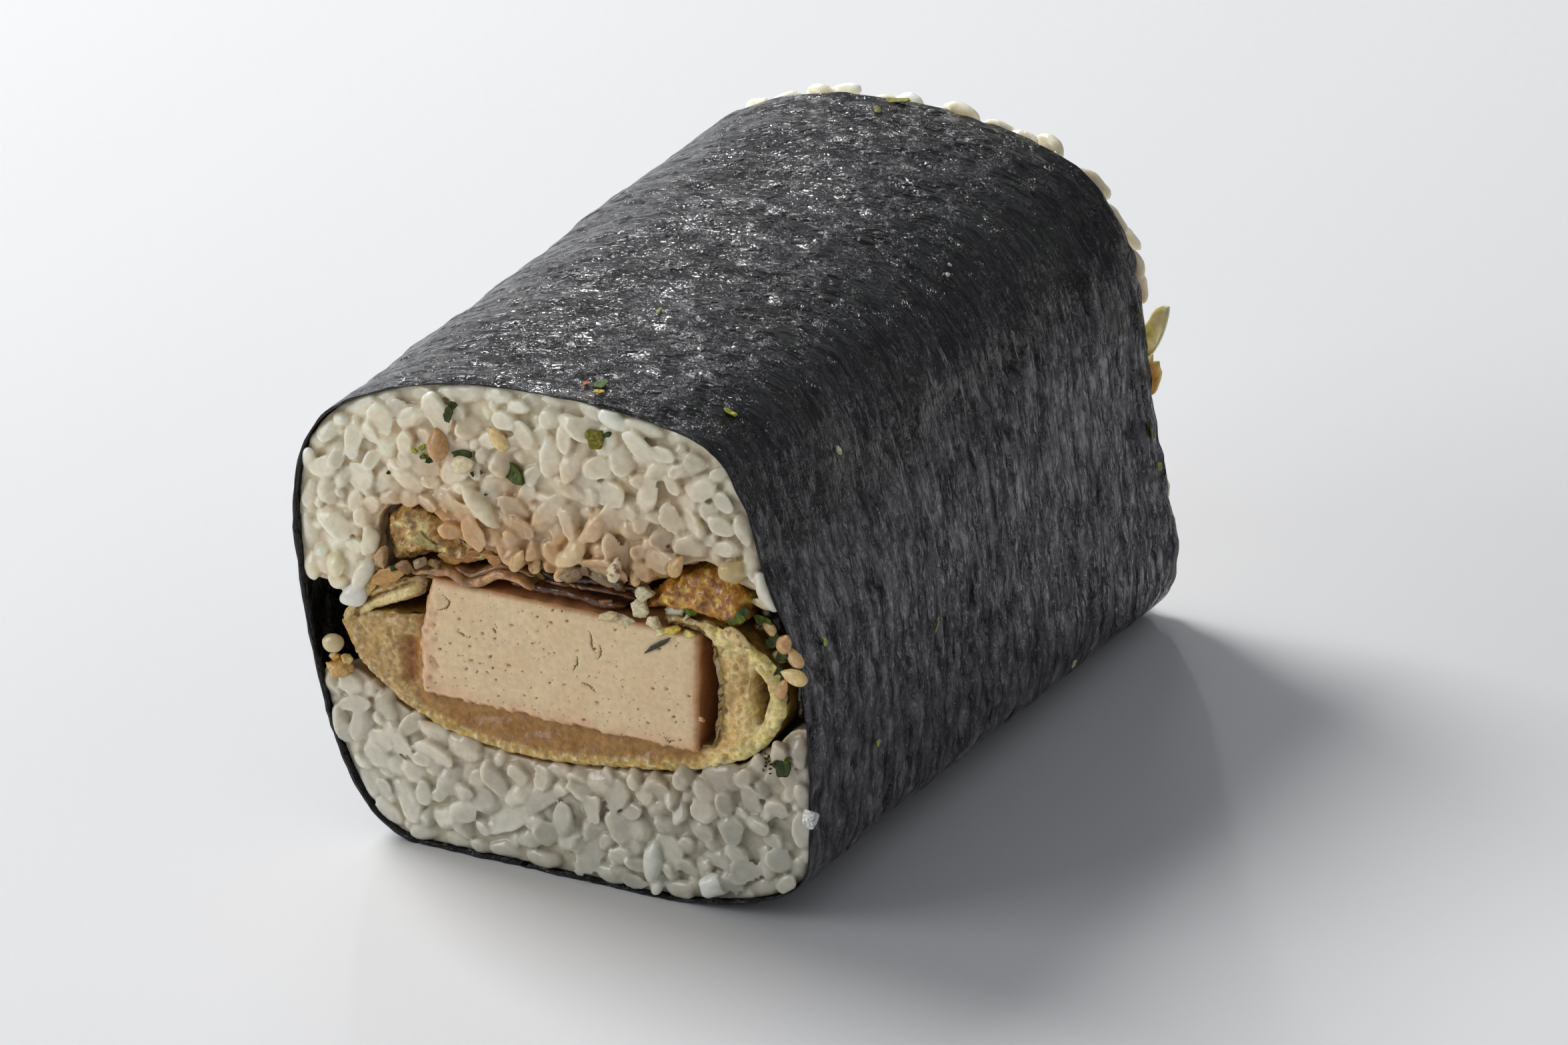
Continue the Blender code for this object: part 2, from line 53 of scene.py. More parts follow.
# ---- the model's sizes, as in its source ------------------------------------------------------------
LENGTH = 90.0
HALF = LENGTH / 2
NORI_THICKNESS = 0.5
SHEET = 0.24  # how thick the sheet shows; the rest of its thickness is taken by the rice
LUMP_HEIGHT, LUMP_SIZE = 0.5, 17.0
CUT_OUTLINE = [
    (-4, 0), (8, 0), (16, 0.3), (24.4, 2.2), (29.6, 5.8), (30.6, 12.4), (30.2, 24), (29.0, 32.6),
    (25.6, 40.6), (23.0, 48.6), (18.6, 54.8), (9, 57.0), (-7, 56.8), (-20, 54.0), (-28.8, 48.4),
    (-32.0, 39), (-31.4, 27), (-28.8, 14.8), (-25.2, 5.4), (-20, 0.5), (-13, 0),
]
END_OUTLINE = [
    (-4, 0), (8, 0), (20, 0), (28.8, 0.5), (32.6, 4.8), (32.5, 12.6), (30.9, 22), (29.0, 32),
    (27.8, 41.0), (24.8, 48.4), (18.6, 54.2), (9, 57.2), (-5, 58.2), (-18, 55.6), (-28.4, 49.0),
    (-32.4, 39), (-31.8, 27), (-29.4, 15), (-25.8, 5.6), (-20.4, 0.5), (-13, 0),
]
SLAB_X, SLAB_Z = (-16.8, 16.6), (18.1, 32.3)
SKIN_UNDERSIDE = [
    (-26.9, 24.8), (-24.2, 20.2), (-18.6, 16.2), (-12.0, 14.0), (-2.2, 13.3), (8.7, 14.6), (17.2, 16.2),
    (24.4, 20.1), (27.2, 25.2), (26.2, 30.0), (22.2, 32.7), (16.8, 33.7), (12.6, 33.5),
]
SKIN_UNDER_SLAB = 17.7  # the z of the points under the slab
SKIN_INSIDE = [
    (12.8, 32.7), (16.8, 32.7), (18.4, 31.8), (19.2, 29.8), (19.9, 27.0), (19.7, 22.6), (18.4, 19.0),
    (16.6, 17.7), (8.0, 17.7), (-8.0, 17.7), (-17.1, 17.7), (-17.3, 21.6), (-17.2, 27.6), (-23.6, 26.6),
    (-17.4, 30.0), (-17.3, 32.2), (-21.6, 30.6),
]
SKIN_CREVICE, CREVICE_RISE = (-23.6, 26.6), 0.548  # where the crevice in the left fold starts
SKIN_POCKET = [
    (22.7, 28.6), (23.7, 29.0), (24.7, 28.0), (25.0, 26.2), (24.8, 24.1), (24.1, 22.7), (23.3, 22.5),
    (23.1, 23.8), (22.5, 25.6),
]
STRIPS = [
    (-16.6, 32.9), (-12.8, 32.7), (-10.8, 32.7), (-8.0, 32.9), (-5.0, 33.2), (-1.8, 32.7), (2.4, 33.0),
    (6.0, 32.8), (9.2, 32.8), (9.5, 35.8), (7.4, 36.0), (4.8, 35.4), (1.2, 34.4), (-2.2, 35.2),
    (-6.0, 35.1), (-9.0, 34.6), (-11.9, 33.6), (-14.6, 33.8),
]
LEFT_FRITTER = [
    (-21.2, 37.6), (-20.6, 33.4), (-18.4, 33.6), (-15.8, 34.8), (-12.2, 34.4), (-9.4, 35.4), (-8.6, 36.2),
    (-12.6, 36.8), (-15.6, 39.2), (-18.4, 40.2),
]
RIGHT_FRITTER = [
    (10.4, 34.0), (12.6, 34.2), (16.6, 34.3), (20.6, 33.7), (22.6, 35.2), (22.2, 38.0), (18.4, 40.0),
    (14.4, 38.6), (11.4, 36.4),
]
RELISH = [
    (22.4, 33.4), (24.6, 32.2), (27.0, 29.6), (27.8, 26.2), (27.6, 24.0), (28.4, 24.0), (28.5, 27.8),
    (27.2, 32.0), (24.8, 36.6), (23.2, 37.4), (23.3, 35.0),
]
UPPER_BED_FACE = [
    (-36, 29.0), (-29.9, 29.4), (-25.8, 29.0), (-22.6, 31.8), (-21.9, 38.5), (-18.2, 40.8), (-15.2, 40.0),
    (-12.2, 37.5), (-8.2, 36.8), (-5.2, 36.2), (-1.6, 36.2), (3.6, 36.4), (8.4, 37.2), (11.6, 37.8),
    (14.2, 39.6), (18.2, 41.0), (22.6, 39.2), (26.2, 38.2), (36, 38.0),
]
LOWER_BED_FACE = [
    (-36, 18.2), (-28.4, 18.4), (-25.2, 19.2), (-19.0, 15.6), (-12.2, 13.5), (-2.2, 12.8), (8.8, 14.1),
    (17.5, 15.7), (24.9, 19.6), (27.4, 22.6), (29.4, 23.6), (36, 23.6),
]
HOLLOW_FILL = [
    (-36, 17.6), (-26.6, 18.2), (-27.6, 21.0), (-27.8, 24.6), (-26.6, 27.2), (-27.6, 28.6), (-36, 28.6),
]


# ---- curves, noise and places ----------------------------------------------------------------------
def curve(points, per_span, closed=True):
    """A smooth curve through the points."""
    p = np.array(points, float)
    if closed:
        a, b, c, d = np.roll(p, 1, 0), p, np.roll(p, -1, 0), np.roll(p, -2, 0)
    else:
        padded = np.vstack([p[:1], p, p[-1:]])
        a, b, c, d = padded[:-3], padded[1:-2], padded[2:-1], padded[3:]
    a, b, c, d = (q[:, None] for q in (a, b, c, d))
    t = (np.arange(per_span) / per_span)[None, :, None]
    made = 0.5 * (2 * b + (c - a) * t + (2 * a - 5 * b + 4 * c - d) * t**2 + (3 * b - a - 3 * c + d) * t**3)
    made = made.reshape(-1, p.shape[1])
    return made if closed else np.vstack([made, p[-1:]])


def even(loop, spacing, closed=True):
    """The same line with its points that far apart."""
    line = np.vstack([loop, loop[:1]]) if closed else np.asarray(loop)
    along = np.concatenate([[0], np.cumsum(np.linalg.norm(np.diff(line, axis=0), axis=1))])
    count = max(int(round(along[-1] / spacing)), 3)
    at = np.linspace(0, along[-1], count + 1)
    made = np.stack([np.interp(at, along, line[:, k]) for k in range(line.shape[1])], 1)
    return made[:-1] if closed else made


GRADIENTS = np.random.default_rng(7).normal(size=(256, 3))
GRADIENTS /= np.linalg.norm(GRADIENTS, axis=1)[:, None]
SHUFFLE = np.random.default_rng(8).permutation(256)
NOISE_APART, NOISE_START = 31.7, 0.37  # where in the noise each seed starts


def waves(points, size, seed=0):
    """Smooth noise from about -1 to 1 at each point, with features of that size."""
    p = np.asarray(points, float)
    if p.shape[1] == 2:
        p = np.column_stack([p, np.zeros(len(p))])
    p = p / size + NOISE_APART * seed + NOISE_START
    cell = np.floor(p).astype(int)
    f = p - cell
    w = f * f * f * (f * (f * 6 - 15) + 10)
    total = np.zeros(len(p))
    for corner in itertools.product((0, 1), repeat=3):
        c = (cell + corner) & 255
        picked = SHUFFLE[(SHUFFLE[(SHUFFLE[c[:, 0]] + c[:, 1]) & 255] + c[:, 2]) & 255]
        share = np.prod(np.where(corner, w, 1 - w), axis=1)
        total += share * np.einsum("ij,ij->i", GRADIENTS[picked], f - corner)
    return 2 * total


def rough(points, size, seed=0, octaves=3):
    """Noise with finer and finer parts, from about -1 to 1."""
    parts = [waves(points, np.asarray(size) / 2**k, seed + k) / 1.8**k for k in range(octaves)]
    return sum(parts) / 1.4


def step(low, high, value):
    """0 below low, 1 above high, smooth between."""
    t = np.clip((value - low) / (high - low), 0, 1)
    return t * t * (3 - 2 * t)


def inside(points, loop):
    """Which of the 2D points are inside the closed loop."""
    p, a = np.asarray(points), np.asarray(loop)
    b = np.roll(a, -1, 0)
    spans = (a[:, 1] > p[:, 1:]) != (b[:, 1] > p[:, 1:])
    rise = np.where(b[:, 1] == a[:, 1], 1e-9, b[:, 1] - a[:, 1])
    crossing = a[:, 0] + (p[:, 1:] - a[:, 1]) * (b[:, 0] - a[:, 0]) / rise
    return (spans & (p[:, :1] < crossing)).sum(1) % 2 == 1


def nearest_on(points, a, b):
    """The place on each segment from a to b that is nearest to each 2D point."""
    p = points[:, None]
    along = ((p - a) * (b - a)).sum(2) / np.maximum(((b - a) ** 2).sum(1), 1e-12)
    return a + np.clip(along, 0, 1)[..., None] * (b - a)


def away(points, line, closed=True):
    """How far each 2D point is from the line."""
    p, a = np.asarray(points, float), np.asarray(line, float)
    a, b = (a, np.roll(a, -1, 0)) if closed else (a[:-1], a[1:])
    batch = 4000  # points at a time, to spare memory
    parts = [p[start : start + batch] for start in range(0, len(p), batch)]
    return np.concatenate([np.zeros(0)] + [
        np.linalg.norm(q[:, None] - nearest_on(q, a, b), axis=2).min(1) for q in parts
    ])


def at_y(flat, y):
    """The 2D points, x and z, as places at that y, or each at a y of its own."""
    return np.column_stack([flat[:, 0], np.broadcast_to(y, len(flat)), flat[:, 1]])


def ring_at(y, inset=0.0, per_span=12):
    """The nori's outline at that y, as in the model, drawn in by inset."""
    along = min(max(y / LENGTH + 0.5, 0), 1)
    ring = curve(CUT_OUTLINE, per_span) * (1 - along) + curve(END_OUTLINE, per_span) * along
    ring[:, 1] = np.maximum(ring[:, 1], 0)
    tangent = np.roll(ring, -1, 0) - np.roll(ring, 1, 0)
    tangent /= np.linalg.norm(tangent, axis=1)[:, None]
    outward = np.stack([tangent[:, 1], -tangent[:, 0]], 1)
    lump = [noise.noise(Vector((x, y, z)) / LUMP_SIZE) * min(1, z / 9) for x, z in ring]
    moved = ring + outward * (LUMP_HEIGHT * np.array(lump) - inset)[:, None]
    if inset == 0:
        moved[:, 1] = np.maximum(moved[:, 1], 0)
    return moved, outward


def bed_region(face, top):
    """The side of a bed's inner face on which its rice lies, out to well past the nori."""
    line = curve(face, 3, closed=False)
    far = 80 if top else -20
    return np.vstack([line, [[line[-1, 0], far], [line[0, 0], far]]])


# ---- meshes ------------------------------------------------------------------------------------------
def into_scene(name, data):
    obj = bpy.data.objects.new(name, data)
    bpy.context.scene.collection.objects.link(obj)
    return obj


def store(mesh, name, kind, field, values):
    """Keeps a value for each vertex under that name."""
    layer = mesh.attributes.new(name, kind, "POINT")
    layer.data.foreach_set(field, np.asarray(values, np.float32).ravel())


def piece(name, verts, faces, look, stands_for, slot, colour=None, sheet=None, wet_and_painted_sheen=None):
    """A piece of the roll. Its colour is one per vertex. The nori's vertices have none, but say where on
    the sheet they lie, how strongly it is wrinkled and shines there, and where it has painted sheen."""
    mesh = bpy.data.meshes.new(name)
    mesh.from_pydata((np.asarray(verts) + SHIFT) * MM, [], faces)
    mesh.validate()
    if colour is not None:
        store(mesh, "tint", "FLOAT_COLOR", "color", np.column_stack([colour, np.ones(len(colour))]))
    if sheet is not None:
        store(mesh, "sheet", "FLOAT_VECTOR", "vector", sheet)
        store(mesh, "wet_and_painted_sheen", "FLOAT", "value", wet_and_painted_sheen)
    mesh.shade_smooth()
    mesh.materials.append(look)
    obj = into_scene(name, mesh)
    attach(obj, "root")
    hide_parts(*stands_for)
    return obj


def triangulate(loops, keep, spacing, seed=0, more=()):
    """Flat triangles over the places that keep allows, with the loops as edges and more as extra points."""
    row_height = 0.87  # of a triangle with equal sides
    jitter, clear_of_loops, clear_of_more, more_clear_of_loops = 0.16, 0.5, 0.4, 0.12  # in spacings
    rng = np.random.default_rng(seed)
    points, edges = [], []
    for loop in loops:
        first, count = len(points), len(loop)
        points += [tuple(p) for p in loop]
        edges += [(first + i, first + (i + 1) % count) for i in range(count)]
    low, high = np.min(points, 0), np.max(points, 0)
    rows = np.arange(low[1], high[1], spacing * row_height)
    across = np.arange(low[0], high[0], spacing)
    grid = np.vstack([
        np.column_stack([across + spacing * 0.5 * (k % 2), np.full(len(across), row)])
        for k, row in enumerate(rows)
    ])
    grid += rng.uniform(-jitter, jitter, grid.shape) * spacing
    grid = grid[keep(grid)]
    for loop in loops:
        grid = grid[away(grid, loop) > clear_of_loops * spacing]
    if len(more):
        more = np.asarray(more)
        more = more[keep(more)]
        for loop in loops:
            more = more[away(more, loop) > more_clear_of_loops * spacing]
        tree = kdtree.KDTree(len(more))
        for k, (x, z) in enumerate(more):
            tree.insert((x, z, 0), k)
        tree.balance()
        clear = [tree.find((x, z, 0))[2] > clear_of_more * spacing for x, z in grid]
        grid = np.vstack([grid[clear], more])
    points += [tuple(p) for p in grid]
    found, _, tris, *_ = geometry.delaunay_2d_cdt([Vector(p) for p in points], edges, [], 0, 1e-5)
    found, tris = np.array([tuple(v) for v in found]), np.array(tris)
    tris = tris[keep(found[tris].mean(1))]
    used = np.unique(tris)
    number = np.zeros(len(found), int)
    number[used] = np.arange(len(used))
    return found[used], number[tris]


def rounded(edge, depth, width):
    """How far the rounding of an edge takes the points that lie that far in from it back."""
    return depth * (1 - np.minimum(edge / width, 1)) ** 2


def uneven(height, size, seed):
    """Walls for extrude that swell and sink by about that height."""

    def swell(flat, y):
        return height * rough(at_y(flat, y), size, seed)

    return swell


def extrude(points, tris, stations, relief=0.0, swell=None):
    """A solid of the flat triangles, from the first station to the last.

    relief is how far each point lies back from the station at either end. swell gives, for the points of
    the rim at a station between, how far they move outward."""
    count = len(points)
    edges = np.vstack([tris[:, [0, 1]], tris[:, [1, 2]], tris[:, [2, 0]]])
    keys = {(a, b) for a, b in edges.tolist()}
    rim = np.array([(a, b) for a, b in keys if (b, a) not in keys])
    rim = rim[np.lexsort((rim[:, 1], rim[:, 0]))]
    corner = np.unique(rim)
    number = np.zeros(count, int)
    number[corner] = np.arange(len(corner))
    outward = np.zeros((count, 2))
    run = points[rim[:, 1]] - points[rim[:, 0]]
    facing = np.stack([run[:, 1], -run[:, 0]], 1)
    np.add.at(outward, rim[:, 0], facing)
    np.add.at(outward, rim[:, 1], facing)
    outward = outward[corner]
    outward /= np.maximum(np.linalg.norm(outward, axis=1), 1e-9)[:, None]
    verts = [at_y(points, stations[0] + relief), at_y(points, stations[-1] - relief)]
    rings = [corner]
    for k, y in enumerate(stations[1:-1]):
        flat = points[corner]
        if swell:
            flat = flat + outward * swell(flat, y)[:, None]
        verts.append(at_y(flat, y))
        rings.append(2 * count + k * len(corner) + np.arange(len(corner)))
    rings.append(corner + count)
    first, second = number[rim].T
    faces = [tris, tris[:, ::-1] + count]
    for near, far in zip(rings, rings[1:]):
        faces.append(np.stack([near[first], far[first], far[second], near[second]], 1))
    return np.vstack(verts), [f for group in faces for f in group.tolist()]


class Heap:
    """Small things of one kind, gathered into one mesh."""

    def __init__(self):
        self.verts, self.faces, self.colours, self.count = [], [], [], 0

    def add(self, verts, faces, colour):
        self.verts.append(verts)
        self.faces += [tuple(i + self.count for i in f) for f in faces]
        self.colours.append(np.broadcast_to(colour, (len(verts), 3)))
        self.count += len(verts)

    def done(self, name, look, stands_for, slot):
        return piece(name, np.vstack(self.verts), self.faces, look, stands_for, slot, np.vstack(self.colours))


def pips(centre, axis, half, radius, around, along, blunt, flat, bend, lumps, seed):
    """Grains of rice, each an oval body about its axis, as one mesh. Gives its verts, faces and owners.
    Their broad sides face the ends of the roll, more or less."""
    rng = np.random.default_rng(seed)
    count = len(centre)
    t = -np.cos(np.linspace(0, math.pi, along + 1))[1:-1]
    turn = np.arange(around) * math.tau / around
    last = (len(t) - 1) * around
    t, turn = np.append(np.repeat(t, around), [-1, 1]), np.append(np.tile(turn, len(t)), [0, 0])
    girth = (1 - np.abs(t) ** blunt) ** 0.5
    girth[-2:] = 0
    side = np.cross(axis, rng.normal(size=(count, 3)) * 0.35 + (0, 1, 0))
    side /= np.linalg.norm(side, axis=1)[:, None]
    other = np.cross(axis, side)
    bends = rng.uniform(-bend, bend, count)
    reach = (half + radius)[:, None, None] * t[None, :, None]
    wide = radius[:, None, None] * (girth * np.cos(turn))[None, :, None]
    high = radius[:, None, None] * (girth * np.sin(turn) * flat)[None, :, None]
    lift = (bends * radius)[:, None, None] * (1 - 2 * t**2)[None, :, None]
    verts = centre[:, None] + axis[:, None] * reach + side[:, None] * (wide + lift) + other[:, None] * high
    off = (verts - centre[:, None]).reshape(-1, 3)
    apart = np.repeat(rng.uniform(0, 90, count), len(t))[:, None]
    off *= (1 + lumps * waves(off + apart, 1.5, seed))[:, None]
    verts = centre[:, None] + off.reshape(verts.shape)
    shell = []
    for row in range(0, last, around):
        for k in range(around):
            a, b = row + k, row + (k + 1) % around
            shell.append((a, b, b + around, a + around))
    size = len(t)
    shell += [(size - 2, (k + 1) % around, k) for k in range(around)]
    shell += [(size - 1, last + k, last + (k + 1) % around) for k in range(around)]
    faces = [tuple(i + n * size for i in f) for n in range(count) for f in shell]
    return verts.reshape(-1, 3), faces, np.repeat(np.arange(count), size)


def fuse(verts, faces, voxel, smooth, back, outward):
    """One surface round overlapping shells. What lies past back is cut off flat."""
    mesh = bpy.data.meshes.new("fuse")
    mesh.from_pydata(np.asarray(verts), [], faces)
    obj = into_scene("fuse", mesh)
    wrap = obj.modifiers.new("Wrap", "REMESH")
    wrap.mode, wrap.voxel_size, wrap.adaptivity = "VOXEL", voxel, 0
    soften = obj.modifiers.new("Soften", "SMOOTH")
    soften.factor, soften.iterations = 0.5, smooth
    bpy.context.view_layer.update()
    graph = bpy.context.evaluated_depsgraph_get()
    bm = bmesh.new()
    bm.from_object(obj, graph)
    bpy.data.objects.remove(obj, do_unlink=True)
    bpy.data.meshes.remove(mesh)
    spare = [v for v in bm.verts if v.co.y * outward < back * outward]
    bmesh.ops.delete(bm, geom=spare, context="VERTS")
    bmesh.ops.holes_fill(bm, edges=[e for e in bm.edges if e.is_boundary], sides=0)
    bm.verts.index_update()
    made = np.array([v.co for v in bm.verts])
    polygons = [tuple(v.index for v in f.verts) for f in bm.faces]
    bm.free()
    return made, polygons


# ---- colours and looks -------------------------------------------------------------------------------
def rgb(*levels):
    """A screen colour, red, green and blue from 0 to 255, as light."""
    return tuple(c / 12.92 / 255 if c < 10.3 else ((c / 255 + 0.055) / 1.055) ** 2.4 for c in levels)


def blend(a, b, share):
    """Colours between a and b, by the share of b at each vertex."""
    a, b = np.atleast_2d(a), np.atleast_2d(b)
    share = np.asarray(share)[:, None]
    return a * (1 - share) + b * share


def painted(colour, coats):
    """The colour with each coat over it in turn, a colour and its share at each vertex."""
    for coat, share in coats:
        colour = blend(colour, coat, share)
    return colour


def give(tree, socket, value):
    """Sets the socket to the value, or links it where the value is a socket itself."""
    if isinstance(value, bpy.types.NodeSocket):
        tree.links.new(value, socket)
    else:
        socket.default_value = value


def node(tree, kind, sockets=None, **settings):
    made = tree.nodes.new("ShaderNode" + kind)
    for key, value in settings.items():
        setattr(made, key, value)
    for key, value in (sockets or {}).items():
        give(tree, made.inputs[key], value)
    return made


def dress(tree, shader, **sockets):
    """Sets or links the shader's sockets. A socket's name is written with _ for its spaces."""
    for key, value in sockets.items():
        give(tree, shader.inputs[key.replace("_", " ")], value)


def new_look(name, **sockets):
    """A material, its tree and its shader with those sockets set."""
    made = bpy.data.materials.new(name)
    made.use_nodes = True
    shader = made.node_tree.nodes["Principled BSDF"]
    dress(made.node_tree, shader, **sockets)
    return made, made.node_tree, shader


def spots(tree, size, detail=2.0, stretch=None, vector=None, roughness=0.55):
    """Noise with features of that size in mm, on the object or on the vector given."""
    if vector is None:
        vector = node(tree, "TexCoord").outputs["Object"]
        scale = 1 / (size * MM)
    else:
        scale = 1 / size
    if stretch:
        vector = node(tree, "Mapping", {"Vector": vector, "Scale": stretch}).outputs[0]
    sockets = {"Vector": vector, "Scale": scale, "Detail": detail, "Roughness": roughness}
    return node(tree, "TexNoise", sockets).outputs["Fac"]


def shades(tree, value, stops):
    """The value turned to colours by the stops, each a place and a colour."""
    made = node(tree, "ValToRGB", {"Fac": value})
    elements = made.color_ramp.elements
    for element, (place, colour) in zip(elements, stops):
        element.position = place
        element.color = (*colour, 1)
    return made.outputs["Color"]


def greys(tree, value, low, high, dark, light):
    """The value turned to a grey, dark up to low and light from high on."""
    return shades(tree, value, [(low, (dark,) * 3), (high, (light,) * 3)])


def ramp(tree, value, low, high, start=0.0, end=1.0):
    """The value from low to high turned to a value from start to end."""
    sockets = {"Value": value, "From Min": low, "From Max": high, "To Min": start, "To Max": end}
    return node(tree, "MapRange", sockets).outputs[0]


def mixed(tree, share, a, b, mode):
    """Two colours put together in that mode."""
    made = node(tree, "Mix", data_type="RGBA", blend_type=mode)
    for key, value in (("Factor", share), ("A", a), ("B", b)):
        give(tree, next(s for s in made.inputs if s.name == key and s.enabled), value)
    return next(s for s in made.outputs if s.enabled)


def sums(tree, a, b, operation="ADD"):
    """Two values put together by that operation."""
    return node(tree, "Math", {0: a, 1: b}, operation=operation).outputs[0]


def times(tree, a, b):
    return sums(tree, a, b, "MULTIPLY")


def bump(tree, height, strength, distance):
    return node(tree, "Bump", {"Height": height, "Strength": strength, "Distance": distance * MM}).outputs[0]


def tinted(tree):
    """The colour of the vertices."""
    return node(tree, "Attribute", attribute_name="tint").outputs["Color"]


def filaments(tree, vector, turn, stretch, sharpness):
    """Fine threads across the vector's plane, lying along its first axis but for the turn."""
    sockets = {"Vector": vector, "Rotation": (0, 0, math.radians(turn)), "Scale": stretch}
    field = spots(tree, 1.0, 1.5, None, node(tree, "Mapping", sockets).outputs[0], 0.5)
    off = sums(tree, sums(tree, field, 0.5, "SUBTRACT"), 0.0, "ABSOLUTE")
    return ramp(tree, off, 0.0, sharpness, 1.0, 0.0)


def nori_look():
    """Roasted seaweed: a near black felt of fine threads, mostly round the roll, that catch the light.

    Its wet attribute is highest on the side, where it is more wrinkled and shines more. There it also has
    paler streaks: painted sheen, which stands in for the lit floor's reflection on the shaded side."""
    made, tree, shader = new_look("nori", IOR=1.5, Specular_IOR_Level=0.52)
    sheet = node(tree, "Attribute", attribute_name="sheet").outputs["Vector"]
    wet_and_painted_sheen = node(tree, "Attribute", attribute_name="wet_and_painted_sheen").outputs["Fac"]
    wander = node(tree, "TexNoise", {"Vector": sheet, "Scale": 0.4, "Detail": 2.0})
    push = node(tree, "VectorMath", {0: wander.outputs["Color"], 1: (0.5, 0.5, 0.5)}, operation="SUBTRACT")
    push = node(tree, "VectorMath", {0: push.outputs[0], "Scale": 2.6}, operation="SCALE")
    bent = node(tree, "VectorMath", {0: sheet, 1: push.outputs[0]}, operation="ADD").outputs[0]
    kinds = ((24, (0.8, 3.0, 1), 0.05), (-31, (0.9, 3.3, 1), 0.05), (3, (0.35, 2.1, 1), 0.06))
    first, second, third = (filaments(tree, bent, *kind) for kind in kinds)
    threads = sums(tree, sums(tree, first, second, "MAXIMUM"), third, "MAXIMUM")
    threads = times(tree, threads, greys(tree, spots(tree, 2.4, 3.0), 0.40, 0.60, 0.08, 1.0))
    drawn_out = node(tree, "Mapping", {"Vector": bent, "Scale": (0.42, 1.15, 1)}).outputs[0]
    cells = node(tree, "TexVoronoi", {"Vector": drawn_out, "Scale": 1.0}, feature="F1")
    pits = ramp(tree, cells.outputs["Distance"], 0.06, 0.16, 1.0, 0.0)
    pits = times(tree, pits, greys(tree, spots(tree, 6.0, 2.0), 0.45, 0.6, 0.0, 1.0))
    crinkle = spots(tree, 1.9, 1.5, (0.3, 1.45, 1), bent, 0.45)

    blacks = [(0.35, (0.0042, 0.0040, 0.0046)), (0.7, (0.0082, 0.0078, 0.0086))]
    colour = shades(tree, spots(tree, 7.0, 3.0), blacks)
    # Partly painted glints: the threads are painted paler than the sheet, partly as their own colour.
    pale_threads_and_painted_glints = shades(tree, threads, [(0.25, (0, 0, 0)), (1.0, (0.014, 0.0135, 0.0155))])
    greenish = shades(tree, spots(tree, 11.0, 2.0), [(0.60, (0, 0, 0)), (0.74, (0.010, 0.012, 0.002))])
    # Painted sheen: paler streaks on the shaded side, in place of the lit floor's reflection there.
    painted_sheen_streaks = shades(tree, crinkle, [(0.36, (0.02, 0.02, 0.022)), (0.66, (0.235, 0.226, 0.25))])
    painted_sheen_share = ramp(tree, wet_and_painted_sheen, 0.7, 2.9)
    for share, added in ((1.0, pale_threads_and_painted_glints), (1.0, greenish), (painted_sheen_share, painted_sheen_streaks)):
        colour = mixed(tree, share, colour, added, "ADD")

    roughness = sums(tree, 0.145, times(tree, wet_and_painted_sheen, 0.01), "SUBTRACT")
    roughness = sums(tree, roughness, times(tree, threads, 0.06), "SUBTRACT")
    roughness = sums(tree, roughness, times(tree, pits, 0.25))

    height = times(tree, pits, -1.2)
    ridges = spots(tree, 0.9, 1.0, (0.3, 2.0, 1), bent, 0.4)
    for part, share in ((threads, 0.25), (ridges, 0.35), (crinkle, 2.5)):
        height = sums(tree, height, times(tree, part, share))
    matted = greys(tree, spots(tree, 5.0, 1.5, (0.5, 1.1, 1), bent), 0.32, 0.66, 0.45, 1.0)
    wrinkled = sums(tree, 0.55, times(tree, wet_and_painted_sheen, 0.85))
    height = times(tree, height, times(tree, matted, wrinkled))
    dress(tree, shader, Base_Color=colour, Roughness=roughness, Normal=bump(tree, height, 1.0, 0.72))
    return made


def rice_look(name):
    """Cooked rice: wet, soft and half clear, so that light runs through it."""
    made, tree, shader = new_look(
        name, Subsurface_Weight=1.0, Subsurface_Radius=(1.0, 0.93, 0.82), Subsurface_Scale=0.0014,
        Roughness=0.28, IOR=1.42, Coat_Weight=0.5, Coat_Roughness=0.12,
    )
    mottle = shades(tree, spots(tree, 1.0, 3.0), [(0.36, (0.9, 0.9, 0.89)), (0.64, (1.03, 1.03, 1.03))])
    colour = mixed(tree, 1.0, tinted(tree), mottle, "MULTIPLY")
    dress(tree, shader, Base_Color=colour, Normal=bump(tree, spots(tree, 0.7, 2.0), 0.6, 0.12))
    return made


FOODS = {  # size and depth of the grain in mm, roughness, light inside and its reach, wet coat, mottling
    "slab": (0.4, 0.10, 0.55, 0.6, 0.0010, 0.0, 0.06),
    "skin": (0.35, 0.2, 0.38, 0.4, 0.0008, 0.35, 0.2),
    "strips": (0.6, 0.14, 0.3, 0.5, 0.0009, 0.6, 0.3),
    "fritter": (0.3, 0.42, 0.25, 0.4, 0.0005, 0.8, 0.24),
    "relish": (0.7, 0.2, 0.25, 0.15, 0.0005, 0.8, 0.4),
    "shred": (0.5, 0.08, 0.5, 0.6, 0.0012, 0.0, 0.12),
    "seed": (0.25, 0.05, 0.34, 0.5, 0.0006, 0.35, 0.12),
    "leaf": (0.2, 0.06, 0.62, 0.1, 0.0003, 0.0, 0.35),
    "crumb": (0.18, 0.15, 0.34, 0.6, 0.0006, 0.45, 0.15),
}


